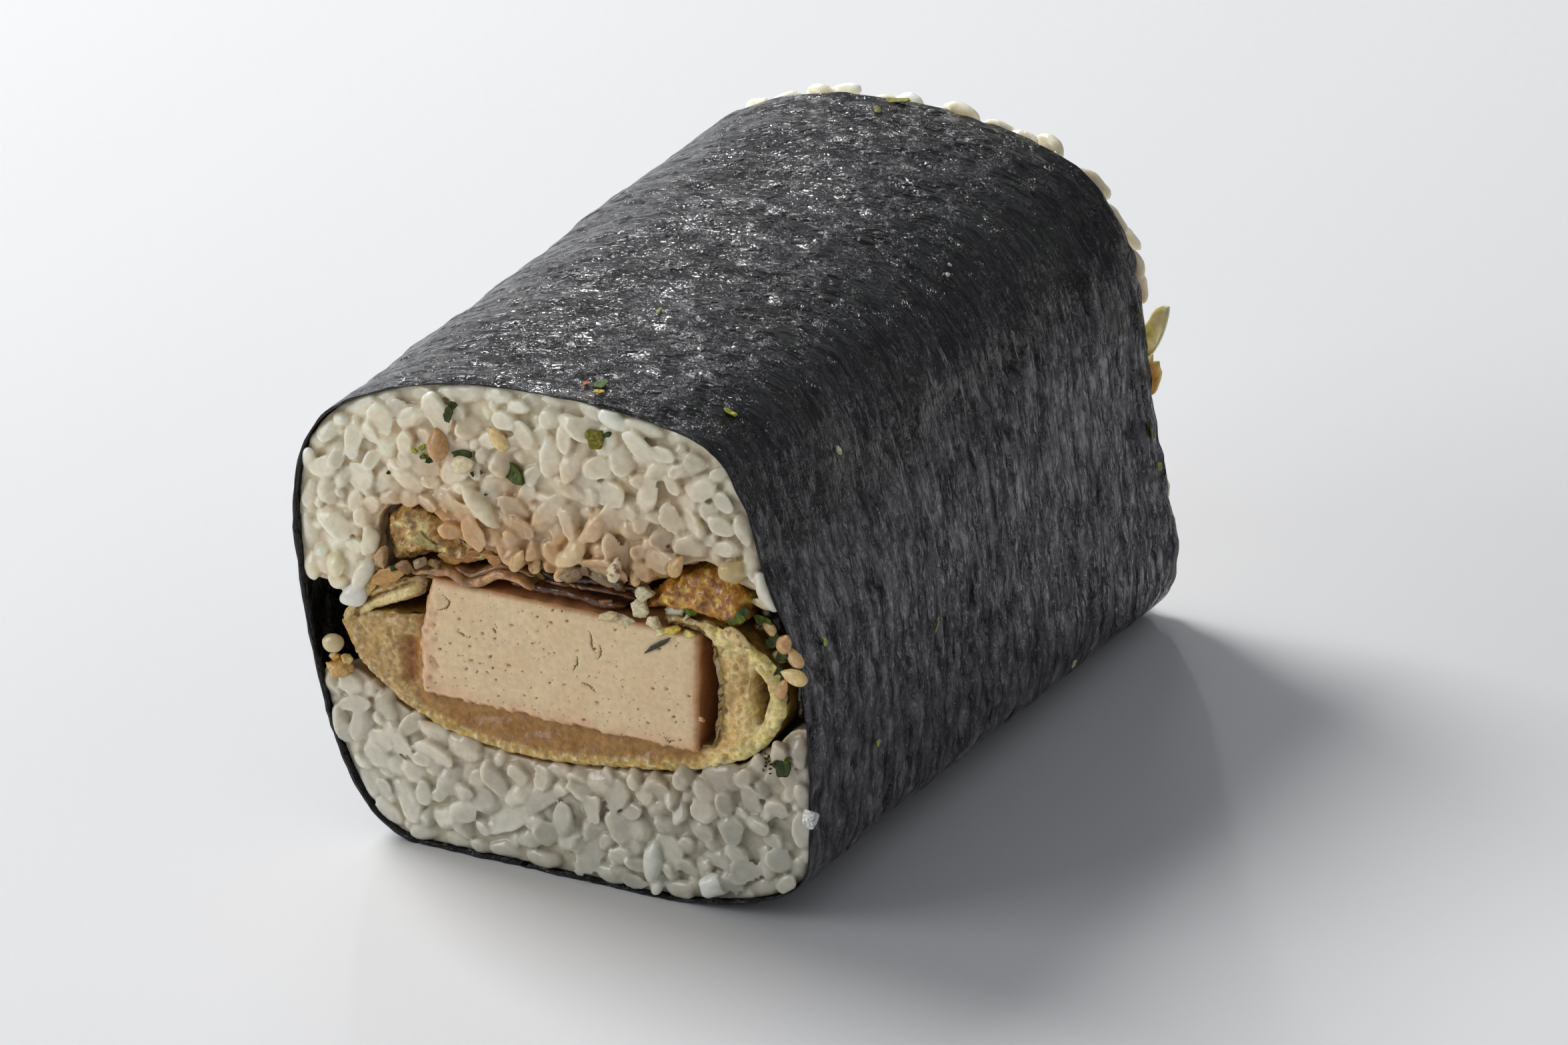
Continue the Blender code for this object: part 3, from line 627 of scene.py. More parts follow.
def soft_look(name):
    """Cooked food coloured by its vertices, with its own grain."""
    size, depth, roughness, scatter, radius, gloss, mottle = FOODS[name]
    uneven_gloss = 0.12
    made, tree, shader = new_look(
        name, Subsurface_Weight=scatter, Subsurface_Radius=(1.0, 0.6, 0.3), Subsurface_Scale=radius,
        IOR=1.42, Coat_Weight=gloss, Coat_Roughness=0.16,
    )
    patches = greys(tree, spots(tree, size * 4, 3.0), 0.3, 0.7, 1 - mottle, 1.0)
    grit = greys(tree, spots(tree, size * 1.7, 3.0), 0.38, 0.62, 1 - 1.3 * mottle, 1 + 0.5 * mottle)
    shade = mixed(tree, 1.0, patches, grit, "MULTIPLY")
    fine = spots(tree, size, 4.0)
    dress(
        tree, shader, Base_Color=mixed(tree, 1.0, tinted(tree), shade, "MULTIPLY"),
        Roughness=ramp(tree, fine, 0.35, 0.65, roughness - uneven_gloss, roughness + uneven_gloss),
        Normal=bump(tree, fine, 0.6, depth),
    )
    return made


# ---- the nori ----------------------------------------------------------------------------------------
def make_nori(look):
    """The sheet round the roll: a fine outside with its wrinkles, a plainer inside, and worn rims."""
    rows, inner_rows = 344, 15
    fade, base = 1.2, 0.2  # of the rims' wear along the roll, and how high the inside lies at least
    stations = np.linspace(-HALF, HALF, rows)
    inner_stations = HALF * np.sin(np.linspace(-math.pi / 2, math.pi / 2, inner_rows))  # closer at the rims
    first, _ = ring_at(-HALF)
    arc = np.concatenate([[0], np.cumsum(np.linalg.norm(np.diff(first, axis=0), axis=1))])
    count = len(arc)
    flat = np.zeros(count)

    def worn(y):
        """The ragged line of the rim, which fades out away from it."""
        ragged = (0.25 if y < 0 else 0.5) * rough(np.column_stack([arc, flat]), 2.6, 21 if y < 0 else 22)
        return ragged * np.exp(-(HALF - abs(y)) / fade)

    verts, sheet, wet_and_painted_sheen = [], [], []
    for y in stations:
        ring, outward = ring_at(y)
        place = np.column_stack([arc, np.full(count, y), flat])
        bent = place + np.column_stack([flat, 1.6 * waves(place, 14, 3), flat])
        front = np.exp(-(y + HALF) / 6.0)
        crumple = np.exp(-(((ring[:, 1] - 25) / 6.5) ** 2)) * (ring[:, 0] > 20) * front
        side = step(20, 28, ring[:, 0])
        broken = 0.5 + 0.5 * np.clip(2.2 * waves(place, (9, 5, 1), 18), -1, 1)
        height = (0.04 + 0.2 * side * broken) * rough(bent, (4.0, 0.75, 1), 11, 2)
        ridges = (0.04 + 0.25 * side * broken) * waves(bent, (5.0, 1.25, 1), 12)
        height += ridges + 0.12 * waves(bent, (14.0, 4.2, 1), 19)
        height += 0.13 * waves(place, (2.9, 2.6, 1), 13) + 0.06 * rough(place, (1.7, 1.2, 1), 14, 2)
        fold = np.exp(-(((ring[:, 1] - 31 + 1.15 * (y + 43)) / 0.8) ** 2))
        height += crumple * 0.5 * rough(bent, (2.4, 1.5, 1), 15, 2)
        height -= 0.3 * fold * side * step(-31, -36, y)
        ring = ring + outward * (height * step(0.4, 6, ring[:, 1]))[:, None]
        verts.append(np.column_stack([ring[:, 0], y + worn(y), np.maximum(ring[:, 1], 0)]))
        sheet.append(place)
        rear = step(5, 38, y + 8 * waves(place, 12, 17)) * step(6, -14, ring[:, 0]) * step(40, 50, ring[:, 1])
        patchy = 0.5 + 0.5 * rough(place, (6, 4, 1), 16)
        # The side below the shoulder lies in shade: it gets more wrinkles, and the paler streaks of painted
        # sheen.
        shaded = 2.6 * side * step(49, 36, ring[:, 1] + 3 * patchy)
        wet_and_painted_sheen.append(np.clip(0.05 + 0.4 * patchy + 0.5 * rear + 1.2 * crumple + shaded, 0, 3.0))
    for y in inner_stations:
        ring, _ = ring_at(y, SHEET)
        verts.append(np.column_stack([ring[:, 0], y + worn(y), np.maximum(ring[:, 1], base)]))
        sheet.append(np.column_stack([arc, np.full(count, y), flat + 1]))
        wet_and_painted_sheen.append(flat + 0.3)
    here = np.arange(count)
    after = (here + 1) % count

    def band(low, high):
        return np.stack([low + here, low + after, high + after, high + here], 1)

    start, last = len(stations) * count, (len(stations) - 1) * count
    end = start + (len(inner_stations) - 1) * count
    faces = [band(k * count, (k + 1) * count) for k in range(len(stations) - 1)]
    faces += [band(k + count, k) for k in range(start, end, count)]
    faces += [band(start, 0), band(last, end)]
    return piece("nori_sheet", np.vstack(verts), np.vstack(faces).tolist(), look, ["nori_wrap"], "nori",
                 sheet=np.vstack(sheet), wet_and_painted_sheen=np.concatenate(wet_and_painted_sheen))


# ---- the rice ----------------------------------------------------------------------------------------
GRAIN_SHAPE = {"around": 18, "along": 12, "blunt": 2.2, "flat": 0.68, "bend": 0.25, "lumps": 0.14, "seed": 5}
COVER_AT_CUT = [  # for Packing.cover, from the back to the front
    (1.3, 0.35, (-2.0, -0.4), 0.66, 90, (1.3, 1.75)),
    (0.7, 0.35, (-0.9, 0.1), 0.56, 80, (1.2, 1.65)),
    (0.9, 0.35, (-0.1, 0.5), 0.44, 60, (1.1, 1.5)),
]
COVER_AT_END = [
    (0.3, 0.45, (-2.6, -0.8), 0.72, 60, (1.2, 1.6)),
    (0.6, 0.4, (-1.4, -0.3), 0.6, 50, (1.2, 1.6)),
]


def grain_axis(rng, steep):
    """The way that a grain points: more along the roll if steep, and else across it."""
    rise = rng.uniform(0.6, 1.0) if steep else rng.uniform(0.0, 0.55)
    turn = rng.uniform(0, math.tau)
    flat = math.sqrt(1 - rise * rise)
    return np.array([flat * math.cos(turn), rise, flat * math.sin(turn)])


class Packing:
    """Grains of rice over an end of a bed, laid one by one where the surface is still deepest.

    Depths count back from the plane of the end. A grain is centre, axis, half, radius and three points
    along its axis, where half is the half of its length that its round ends leave over."""

    CELL = 0.3  # of the grid on which the depths are kept
    EMPTY, SHUT, SHUT_BELOW = 9.0, -9.0, -5.0  # depths where nothing lies yet, and where nothing may lie
    POINTS = np.array([-0.85, 0, 0.85])  # along the axis, in halves
    OVERHANG = 0.3  # how many radii inside the bed's face a grain has to stay
    AT_ONCE = 12  # open cells that are tried together
    AT_WALL = 0.66  # how near two grains along the nori may come, in the sum of their radii

    def __init__(self, region, outline, face_y, outward, rng, tight):
        self.face_y, self.outward, self.rng, self.tight = face_y, outward, rng, tight
        self.low = outline.min(0)
        size = np.ceil((outline.max(0) - self.low) / self.CELL).astype(int)
        self.x = self.low[0] + (np.arange(size[0]) + 0.5) * self.CELL
        self.z = self.low[1] + (np.arange(size[1]) + 0.5) * self.CELL
        cells = np.stack(np.meshgrid(self.x, self.z, indexing="ij"), 2).reshape(-1, 2)
        shape = (len(self.x), len(self.z))
        within = inside(cells, outline)
        ours = inside(cells, region)
        self.wall = np.where(within, away(cells, outline), -1).reshape(shape)
        self.line = (away(cells, region[:-2], False) * np.where(ours, 1, -1)).reshape(shape)
        self.depth = np.where(within & ours, self.EMPTY, self.SHUT).reshape(shape)
        self.grains = []

    def at(self, grid, x, z):
        i = int(np.clip((x - self.low[0]) / self.CELL, 0, len(self.x) - 1))
        k = int(np.clip((z - self.low[1]) / self.CELL, 0, len(self.z) - 1))
        return grid[i, k]

    def points_of(self, centre, axis, half):
        return centre + axis * (self.POINTS * half)[:, None]

    def fits(self, points, radius):
        for x, _, z in points:
            near_wall = self.at(self.wall, x, z) < radius * self.tight
            if near_wall or self.at(self.line, x, z) < self.OVERHANG * radius:
                return False
        return True

    def crowded(self, points, radius, closeness):
        if not self.grains:
            return False
        theirs = np.array([g[4] for g in self.grains])
        radii = np.array([g[3] for g in self.grains])
        gaps = np.linalg.norm(theirs[:, :, None] - points[None, None], axis=3).min((1, 2))
        return bool((gaps < closeness * (radii + radius)).any())

    def lay(self, x, z, axis, half, radius, front, closeness):
        """Adds a grain whose foremost point lies front behind the plane, where there is room for it."""
        reach = abs(axis[1]) * half + radius
        centre = np.array([x, self.face_y - self.outward * (front + reach), z])
        points = self.points_of(centre, axis, half)
        if self.fits(points, radius) and not self.crowded(points, radius, closeness):
            self.place(centre, axis, half, radius)

    def place(self, centre, axis, half, radius):
        """Adds a grain there."""
        self.grains.append((centre, axis, half, radius, self.points_of(centre, axis, half)))
        ends = centre + axis * half * np.array([[-1], [1]])
        low, high = ends.min(0) - radius, ends.max(0) + radius
        i = slice(*np.searchsorted(self.x, [low[0], high[0]]))
        k = slice(*np.searchsorted(self.z, [low[2], high[2]]))
        gx, gz = np.meshgrid(self.x[i], self.z[k], indexing="ij")
        run = ends[1] - ends[0]
        flat = max(run[0] ** 2 + run[2] ** 2, 1e-9)
        share = np.clip(((gx - ends[0, 0]) * run[0] + (gz - ends[0, 2]) * run[2]) / flat, 0, 1)
        gap = np.hypot(gx - ends[0, 0] - share * run[0], gz - ends[0, 2] - share * run[2])
        dome = np.sqrt(np.maximum(radius**2 - gap**2, 0))
        back = (self.face_y - ends[0, 1] - share * run[1]) * self.outward
        here = np.where(gap < radius, back - dome, np.inf)
        old = self.depth[i, k]
        self.depth[i, k] = np.where(old > self.SHUT_BELOW, np.minimum(old, here), self.SHUT)

    def line_wall(self, outline, off, front):
        """Grains that lie along the nori, off it by some radii and front behind the plane."""
        rng = self.rng
        ring = even(outline, 0.4)
        run = np.roll(ring, -1, 0) - ring
        run /= np.linalg.norm(run, axis=1)[:, None]
        inward = np.stack([-run[:, 1], run[:, 0]], 1)
        for again in range(3):
            for k in rng.permutation(len(ring)):
                shrink = 1 - 0.14 * again
                half, radius = rng.uniform(0.6, 1.8) * shrink, rng.uniform(1.1, 1.4) * shrink
                axis = np.array([run[k, 0], rng.uniform(-0.5, 0.5), run[k, 1]])
                axis /= np.linalg.norm(axis)
                x, z = ring[k] + inward[k] * (radius * rng.uniform(*off))
                if self.at(self.depth, x, z) > 0.5:
                    self.lay(x, z, axis, half, radius, rng.uniform(*front), self.AT_WALL)

    def cover(self, deeper, steep, front, closeness, tries, radii):
        """Grains over the places that are still deeper than that, a share of them steep."""
        rng = self.rng
        for _ in range(tries):
            open_cells = np.argwhere(self.depth > deeper)
            if len(open_cells) < self.AT_ONCE:
                break
            for i, k in open_cells[rng.integers(0, len(open_cells), self.AT_ONCE)]:
                if self.depth[i, k] <= deeper:
                    continue
                x, z = self.x[i] + rng.uniform(-0.5, 0.5), self.z[k] + rng.uniform(-0.5, 0.5)
                half, radius = rng.uniform(0.3, 1.9), rng.uniform(*radii)
                axis = grain_axis(rng, rng.random() < steep)
                self.lay(x, z, axis, half, radius, rng.uniform(*front), closeness)


def trim(verts, owner, depth, slope, face_y, outward):
    """Cuts the grains off near the plane of the cut, each at a depth and slope of its own."""
    soft = 0.14  # how far a cut grain still bulges past its cut
    count = len(depth)
    middle = np.zeros((count, 3))
    np.add.at(middle, owner, verts)
    middle = (middle / np.maximum(np.bincount(owner, minlength=count), 1)[:, None])[owner]
    plane = depth[owner] + ((verts[:, [0, 2]] - middle[:, [0, 2]]) * slope[owner]).sum(1)
    past = np.maximum((verts[:, 1] - face_y) * outward + plane, 0)
    verts = verts.copy()
    verts[:, 1] -= outward * (past - soft * (1 - np.exp(-past / soft)))
    return verts


def press(verts, outline):
    """Flattens what reaches past the outline against it."""
    flat = verts[:, [0, 2]]
    over = np.flatnonzero(~inside(flat, outline))
    if len(over):
        nearest = nearest_on(flat[over], outline, np.roll(outline, -1, 0))
        which = np.linalg.norm(flat[over][:, None] - nearest, axis=2).argmin(1)
        verts = verts.copy()
        verts[np.ix_(over, [0, 2])] = nearest[np.arange(len(over)), which]
    return verts


def rice_colour(verts, tone, line, top):
    """White rice, browner where the sauce of the filling has soaked into it. Painted shade makes it darker
    in the lower bed and towards the right, and painted light lighter towards the left. Also says how soaked
    it is.
    """
    flat = verts[:, [0, 2]]
    depth = away(flat, line, False)
    # The lower bed's rice is painted darker and greyer than the upper's: painted shade.
    white, stained = rgb(234, 228, 206) if top else rgb(206, 204, 189), rgb(198, 154, 100)
    reach = 5.2 + 3.4 * waves(verts, 7.0, 31)
    soaked = np.exp(-np.maximum(depth, 0) / np.maximum(reach, 1.2))
    if top:
        middle = np.exp(-(((flat[:, 0] + 2) / 17) ** 4))
        middle = middle * step(57, 46, flat[:, 1]) * step(-6, 8, flat[:, 1] - 30)
        soaked = soaked * (0.35 + 0.65 * middle) + 0.38 * middle * step(-0.8, 0.6, waves(verts, 5.0, 32))
    else:
        soaked = soaked * 0.25
    soaked = np.clip(soaked, 0, 0.9)
    colour = blend(white, stained, soaked)
    # Painted light: lighter towards the left, where the light comes from, and darker towards the right.
    painted_light_from_left = 1.0 - (0.09 if top else 0.12) * np.clip(flat[:, 0] / 25, -1, 1)
    return colour * (tone * painted_light_from_left)[:, None], soaked


def bulges(verts, faces):
    """How far each vertex of a skin of quads stands out from those round it, in mm, and its normal."""
    quads = np.array([f for f in faces if len(f) == 4])
    count = np.bincount(quads.ravel(), minlength=len(verts))[:, None] * 2
    normal, around = np.zeros(verts.shape), np.zeros(verts.shape)
    crossed = np.cross(verts[quads[:, 2]] - verts[quads[:, 0]], verts[quads[:, 3]] - verts[quads[:, 1]])
    for k in range(4):
        np.add.at(normal, quads[:, k], crossed)
        np.add.at(around, quads[:, k], verts[quads[:, k - 1]] + verts[quads[:, (k + 1) % 4]])
    normal /= np.maximum(np.linalg.norm(normal, axis=1), 1e-9)[:, None]
    lift = ((verts - around / np.maximum(count, 1)) * normal).sum(1)
    for _ in range(2):
        shared = np.zeros(len(verts))
        for k in range(4):
            np.add.at(shared, quads[:, k], lift[quads[:, k - 1]] + lift[quads[:, (k + 1) % 4]])
        lift = 0.4 * lift + 0.6 * shared / np.maximum(count[:, 0], 1)
    return lift, normal


def make_bed_end(name, region, top, look, slot, rng, cut):
    """The rice that shows at one end: grains over a block, fused with it into one mass."""
    outward, face_y = (-1, -HALF) if cut else (1, HALF)
    block_recess, block_depth, fused_depth = (0.85 if cut else 0.6), 6.0, 3.6  # behind the plane of the end
    outline_inset, block_inset = SHEET + 0.03, SHEET + 0.1
    never = -9.0  # the depth of the cut in a grain that isn't cut
    own = OWN_GRAINS[name] if cut else []
    outline, _ = ring_at(face_y, outline_inset, 4)
    packing = Packing(region, outline, face_y, outward, rng, 0.6 if cut else 0.2)
    for x, z, length, width, turn, _ in own:
        centre, axis = np.array([x, face_y + 0.1, z]), turned(turn) + np.array([0, 0.15, 0])
        axis /= np.linalg.norm(axis)
        packing.place(centre, axis, (length - width) / 2, width / 2)
    if cut:
        packing.line_wall(outline, (0.7, 1.0), (-0.9, 0.2))
    else:
        packing.line_wall(outline, (0.1, 0.9), (-3.6, -1.4) if top else (-1.8, -0.5))
    for layer in COVER_AT_CUT if cut else COVER_AT_END:
        packing.cover(*layer)
    grains = packing.grains
    count = len(grains)
    centre, axis, half, radius = (np.array([g[k] for g in grains]) for k in range(4))
    tint = rng.normal(1.0, 0.07, count).clip(0.84, 1.12)
    depth = rng.uniform(-0.25, 0.45, count) if cut else np.full(count, never)
    depth[: len(own)] = never
    slope = rng.normal(0, 0.2, (count, 2))

    block_outline, _ = ring_at(face_y, block_inset, 4)
    ends = [face_y - outward * block_recess, face_y - outward * block_depth]

    def keep(p):
        return inside(p, block_outline) & inside(p, region)

    flat, tris = triangulate([even(block_outline, 1.0), even(region, 1.0)], keep, 1.6)
    block, faces = extrude(flat, tris, sorted(ends))
    body, body_faces, owner = pips(centre, axis, half, radius, **GRAIN_SHAPE)
    body = trim(body, owner, depth, slope, face_y, outward)
    pressed = press(body, outline)
    if not cut:
        wider, _ = ring_at(face_y, -0.5 if top else -0.2, 4)
        proud = (body[:, 1] - face_y) * outward > 0.3
        pressed[proud] = press(body, wider)[proud]
    faces = faces + [tuple(i + len(block) for i in f) for f in body_faces]
    voxel, smooth = (0.18, 2) if cut else (0.26, 3)
    fused, fused_faces = fuse(
        np.vstack([block, pressed]), faces, voxel, smooth, face_y - outward * fused_depth, outward
    )
    tree = kdtree.KDTree(count * 3)
    for k, g in enumerate(grains):
        for point in g[4]:
            tree.insert(point, k)
    tree.balance()
    owner = np.array([tree.find(v)[1] for v in fused])
    colour, soaked = rice_colour(fused, tint[owner], region[:-2], top)
    lift, normal = bulges(fused, fused_faces)
    fused = fused + normal * (0.13 * soaked * rough(fused, 0.9, 36, 2))[:, None]
    fused[:, 2] = np.maximum(fused[:, 2], 0.05)
    # Painted shade: darker and warmer where the surface lies deep behind the plane of the end.
    painted_depth_shade = step(0.3, 1.5, (face_y - fused[:, 1]) * outward)
    colour = blend(colour, colour * np.array([0.84, 0.73, 0.56]), painted_depth_shade * 0.9)
    # Painted light: lighter on edges that stand out, as painted highlight, and darker and warmer in the
    # crevices, as painted shade.
    edge, painted_crevice_shade = np.clip(lift / 0.022, 0, 1), np.clip(-lift / 0.03, 0, 1)
    colour = colour * (1 + 0.2 * edge - 0.1 * painted_crevice_shade)[:, None] * (1 - np.outer(painted_crevice_shade, (0.0, 0.04, 0.12)))
    if own:
        tones = np.array([g[5] for g in own])[np.minimum(owner, len(own) - 1)]
        colour = blend(colour, tones, (owner < len(own)) * 0.8)
    colour = np.minimum(colour, 0.93)
    return piece(f"{name}_{'cut' if cut else 'end'}", fused, fused_faces, look, [name], slot, colour)


def make_bed(name, face, top, look, slot):
    """A bed of rice: grains at both ends, and a core between. Gives the cut end."""
    region = bed_region(face, top)
    rng = np.random.default_rng(41 if top else 43)
    mass = make_bed_end(name, region, top, look, slot, rng, True)
    make_bed_end(name, region, top, look, slot, rng, False)
    inset, far = NORI_THICKNESS + 1.6, 41.8 if top else 34.0
    outline, _ = ring_at(0, inset, 4)
    hollow = curve(HOLLOW_FILL, 3)

    def keep(p):
        return inside(p, outline) & (inside(p, region) | (inside(p, hollow) & (not top)))

    loops = [outline, region] if top else [outline, region, hollow]
    flat, tris = triangulate([even(loop, 1.5) for loop in loops], keep, 2.5)
    core, faces = extrude(flat, tris, [-far, far])
    colour, _ = rice_colour(core, np.ones(len(core)), region[:-2], top)
    piece(f"{name}_core", core, faces, look, [name], slot, colour)
    return mass


# ---- the slab ----------------------------------------------------------------------------------------
SLAB_STATIONS = [-HALF + 0.3, -HALF + 0.9, -HALF + 1.8, -HALF + 3.2, -HALF + 5.5, -HALF + 9, -20, 0, 20,
                 HALF - 6, HALF - 3, HALF - 1.2]  # and one more at the far end
TEARS = [
    [(3.9, 30.1), (4.2, 29.3), (4.1, 28.4), (4.5, 27.7)],
    [(2.3, 26.7), (2.45, 26.1), (2.1, 25.5), (1.9, 25.0)],
    [(13.1, 19.3), (13.4, 18.9), (13.9, 19.2)],
    [(5.2, 28.6), (5.2, 27.6), (4.9, 27.0)],
    [(3.0, 23.7), (3.8, 23.5), (4.5, 23.0)],
    [(-14.0, 30.6), (-13.2, 29.9), (-13.6, 29.2), (-14.6, 28.7)],
    [(-7.9, 27.9), (-7.5, 27.5)],
    [(-12.2, 26.6), (-11.2, 26.3)],
]
PORES = 190
SLAB_LEFT_SIDE = (  # z, and how far in from its line the side lies there
    [18, 19, 22.3, 25.7, 28.7, 31, 32.4], [0.4, -0.2, -0.1, -0.5, 0.3, 1.0, 1.1],
)


def slab_pits(rng):
    """The slab's pores and small tears, each x, z, radius, length over width, turn, depth and painted shade.
    """
    pits = []
    while len(pits) < PORES:
        x, z = rng.uniform(SLAB_X[0] + 0.6, SLAB_X[1] - 0.5), rng.uniform(SLAB_Z[0] + 0.5, SLAB_Z[1] - 0.5)
        crowd = 0.5 + 0.5 * float(waves(np.array([[x, z]]), 5.5, 51)[0])
        radius = rng.uniform(0.04, 0.08) if rng.random() < 0.75 else rng.uniform(0.09, 0.17)
        far = all(math.hypot(x - p[0], z - p[1]) > 2.4 * (radius + p[2]) for p in pits)
        if far and rng.random() < 0.2 + 0.8 * crowd:
            stretch, turn = rng.uniform(1, 2.4), rng.uniform(-0.6, 0.9)
            pits.append((x, z, radius, stretch, turn, radius * 3, rng.uniform(0.1, 0.55)))
    for tear in TEARS:
        line = even(np.array(tear), 0.26, closed=False)
        for k, (x, z) in enumerate(line):
            swell = math.sin(math.pi * (k + 0.5) / len(line))
            place = x + rng.uniform(-0.07, 0.07)
            pits.append((place, z, 0.05 + 0.07 * swell, 1.6, 1.4, 0.2 + 0.25 * swell, 0.7))
    return pits


def make_slab(look):
    """A firm pale slab, cut clean, with small pores darkened by painted shade, crumbly left and lower edges
    and browned sides.
    """
    rng = random.Random(52)
    (left, right), (low, high) = SLAB_X, SLAB_Z
    loop = even(np.array([(left, low), (right, low), (right, high), (left, high)], float), 0.3)
    middle, size = np.array([(left + right) / 2, (low + high) / 2]), np.array([right - left, high - low])
    at_side = 0.985  # of the way from the middle to a side
    facing = np.where(np.abs(loop - middle) / (size / 2) > at_side, np.sign(loop - middle), 0)
    worn = 0.35 + 0.9 * step(low + 0.6, low, loop[:, 1]) + 0.9 * step(left + 0.6, left, loop[:, 0])
    wobble = (0.2 * rough(loop, 1.5, 53) + 0.12 * waves(loop, 5.0, 54)) * worn - 0.12
    loop = loop + facing * wobble[:, None]
    bulge = np.interp(loop[:, 1], *SLAB_LEFT_SIDE)
    loop[:, 0] += bulge * (facing[:, 0] < 0) + 0.45 * (facing[:, 0] > 0)
    pits = slab_pits(rng)
    more = []
    for x, z, radius, stretch, turn, *_ in pits:
        more.append((x, z))
        for share, sides in ((0.5, 5), (0.95, 7), (1.45, 7)):
            for k in range(sides):
                at = math.tau * (k + share) / sides
                reach = radius * share * rng.uniform(0.85, 1.15)
                along, across = reach * stretch * math.cos(at), reach * math.sin(at)
                more.append((x + along * math.cos(turn) - across * math.sin(turn),
                             z + along * math.sin(turn) + across * math.cos(turn)))
    points, tris = triangulate([loop], lambda p: inside(p, loop), 0.45, 3, more)
    edge = away(points, loop)
    crumbly = step(2.4, 0.6, points[:, 0] - left - 0.4 + waves(points, 1.6, 62))
    crumbly = crumbly * step(31.5, 29.5, points[:, 1]) + 0.7 * step(1.2, 0.1, points[:, 1] - low)
    relief = rounded(edge, 0.4, 0.4) + 0.12 * waves(points, 7, 56)
    relief += (0.05 + 0.45 * crumbly) * rough(points, 1.3, 55)
    dark = np.zeros(len(points))
    # Painted shade: each pore and tear is darkened inside by its shade.
    for x, z, radius, stretch, turn, depth, shade in pits:
        dx, dz = points[:, 0] - x, points[:, 1] - z
        along, across = dx * math.cos(turn) + dz * math.sin(turn), dz * math.cos(turn) - dx * math.sin(turn)
        gap = np.hypot(along / stretch, across) / radius
        relief += depth * np.clip(1 - gap, 0, 1) ** 0.7
        dark = np.maximum(dark, shade * step(1.25, 0.5, gap))
    stations = SLAB_STATIONS + [HALF - 0.3]
    verts, faces = extrude(points, tris, stations, relief, uneven(0.14, (2.0, 3.0, 2.0), 57))
    low_edge = step(2.6, 0.2, points[:, 1] - low) + 0.8 * step(3.4, 0.3, points[:, 0] - left)
    low_edge = low_edge + 0.6 * step(1.6, 0.2, right - points[:, 0])
    colour = painted(rgb(238, 210, 168), [
        (rgb(242, 218, 177), 0.5 + 0.5 * waves(points, 4.5, 58).clip(-1, 1)),
        (rgb(234, 194, 156), np.clip(low_edge * (0.7 + 0.5 * waves(points, 1.8, 59)), 0, 1)),
        (rgb(206, 134, 84), 0.6 * step(0.06, 0.3, relief * crumbly)),
        (rgb(205, 140, 88), 0.7 * step(0.45, 0.1, edge + 0.15 * waves(points, 0.8, 60))),
        # painted shade in the pores and tears
        (rgb(150, 102, 66), dark),
    ])
    walls = verts[2 * len(points) :]
    side = blend(rgb(222, 166, 112), rgb(186, 124, 76), step(0.5, 1.6, HALF - np.abs(walls[:, 1])))
    side = side * (1 + 0.18 * rough(walls, 2.0, 61))[:, None]
    return piece("slab", verts, faces, look, ["pored_slab"], "slab", np.vstack([colour, colour, side]))


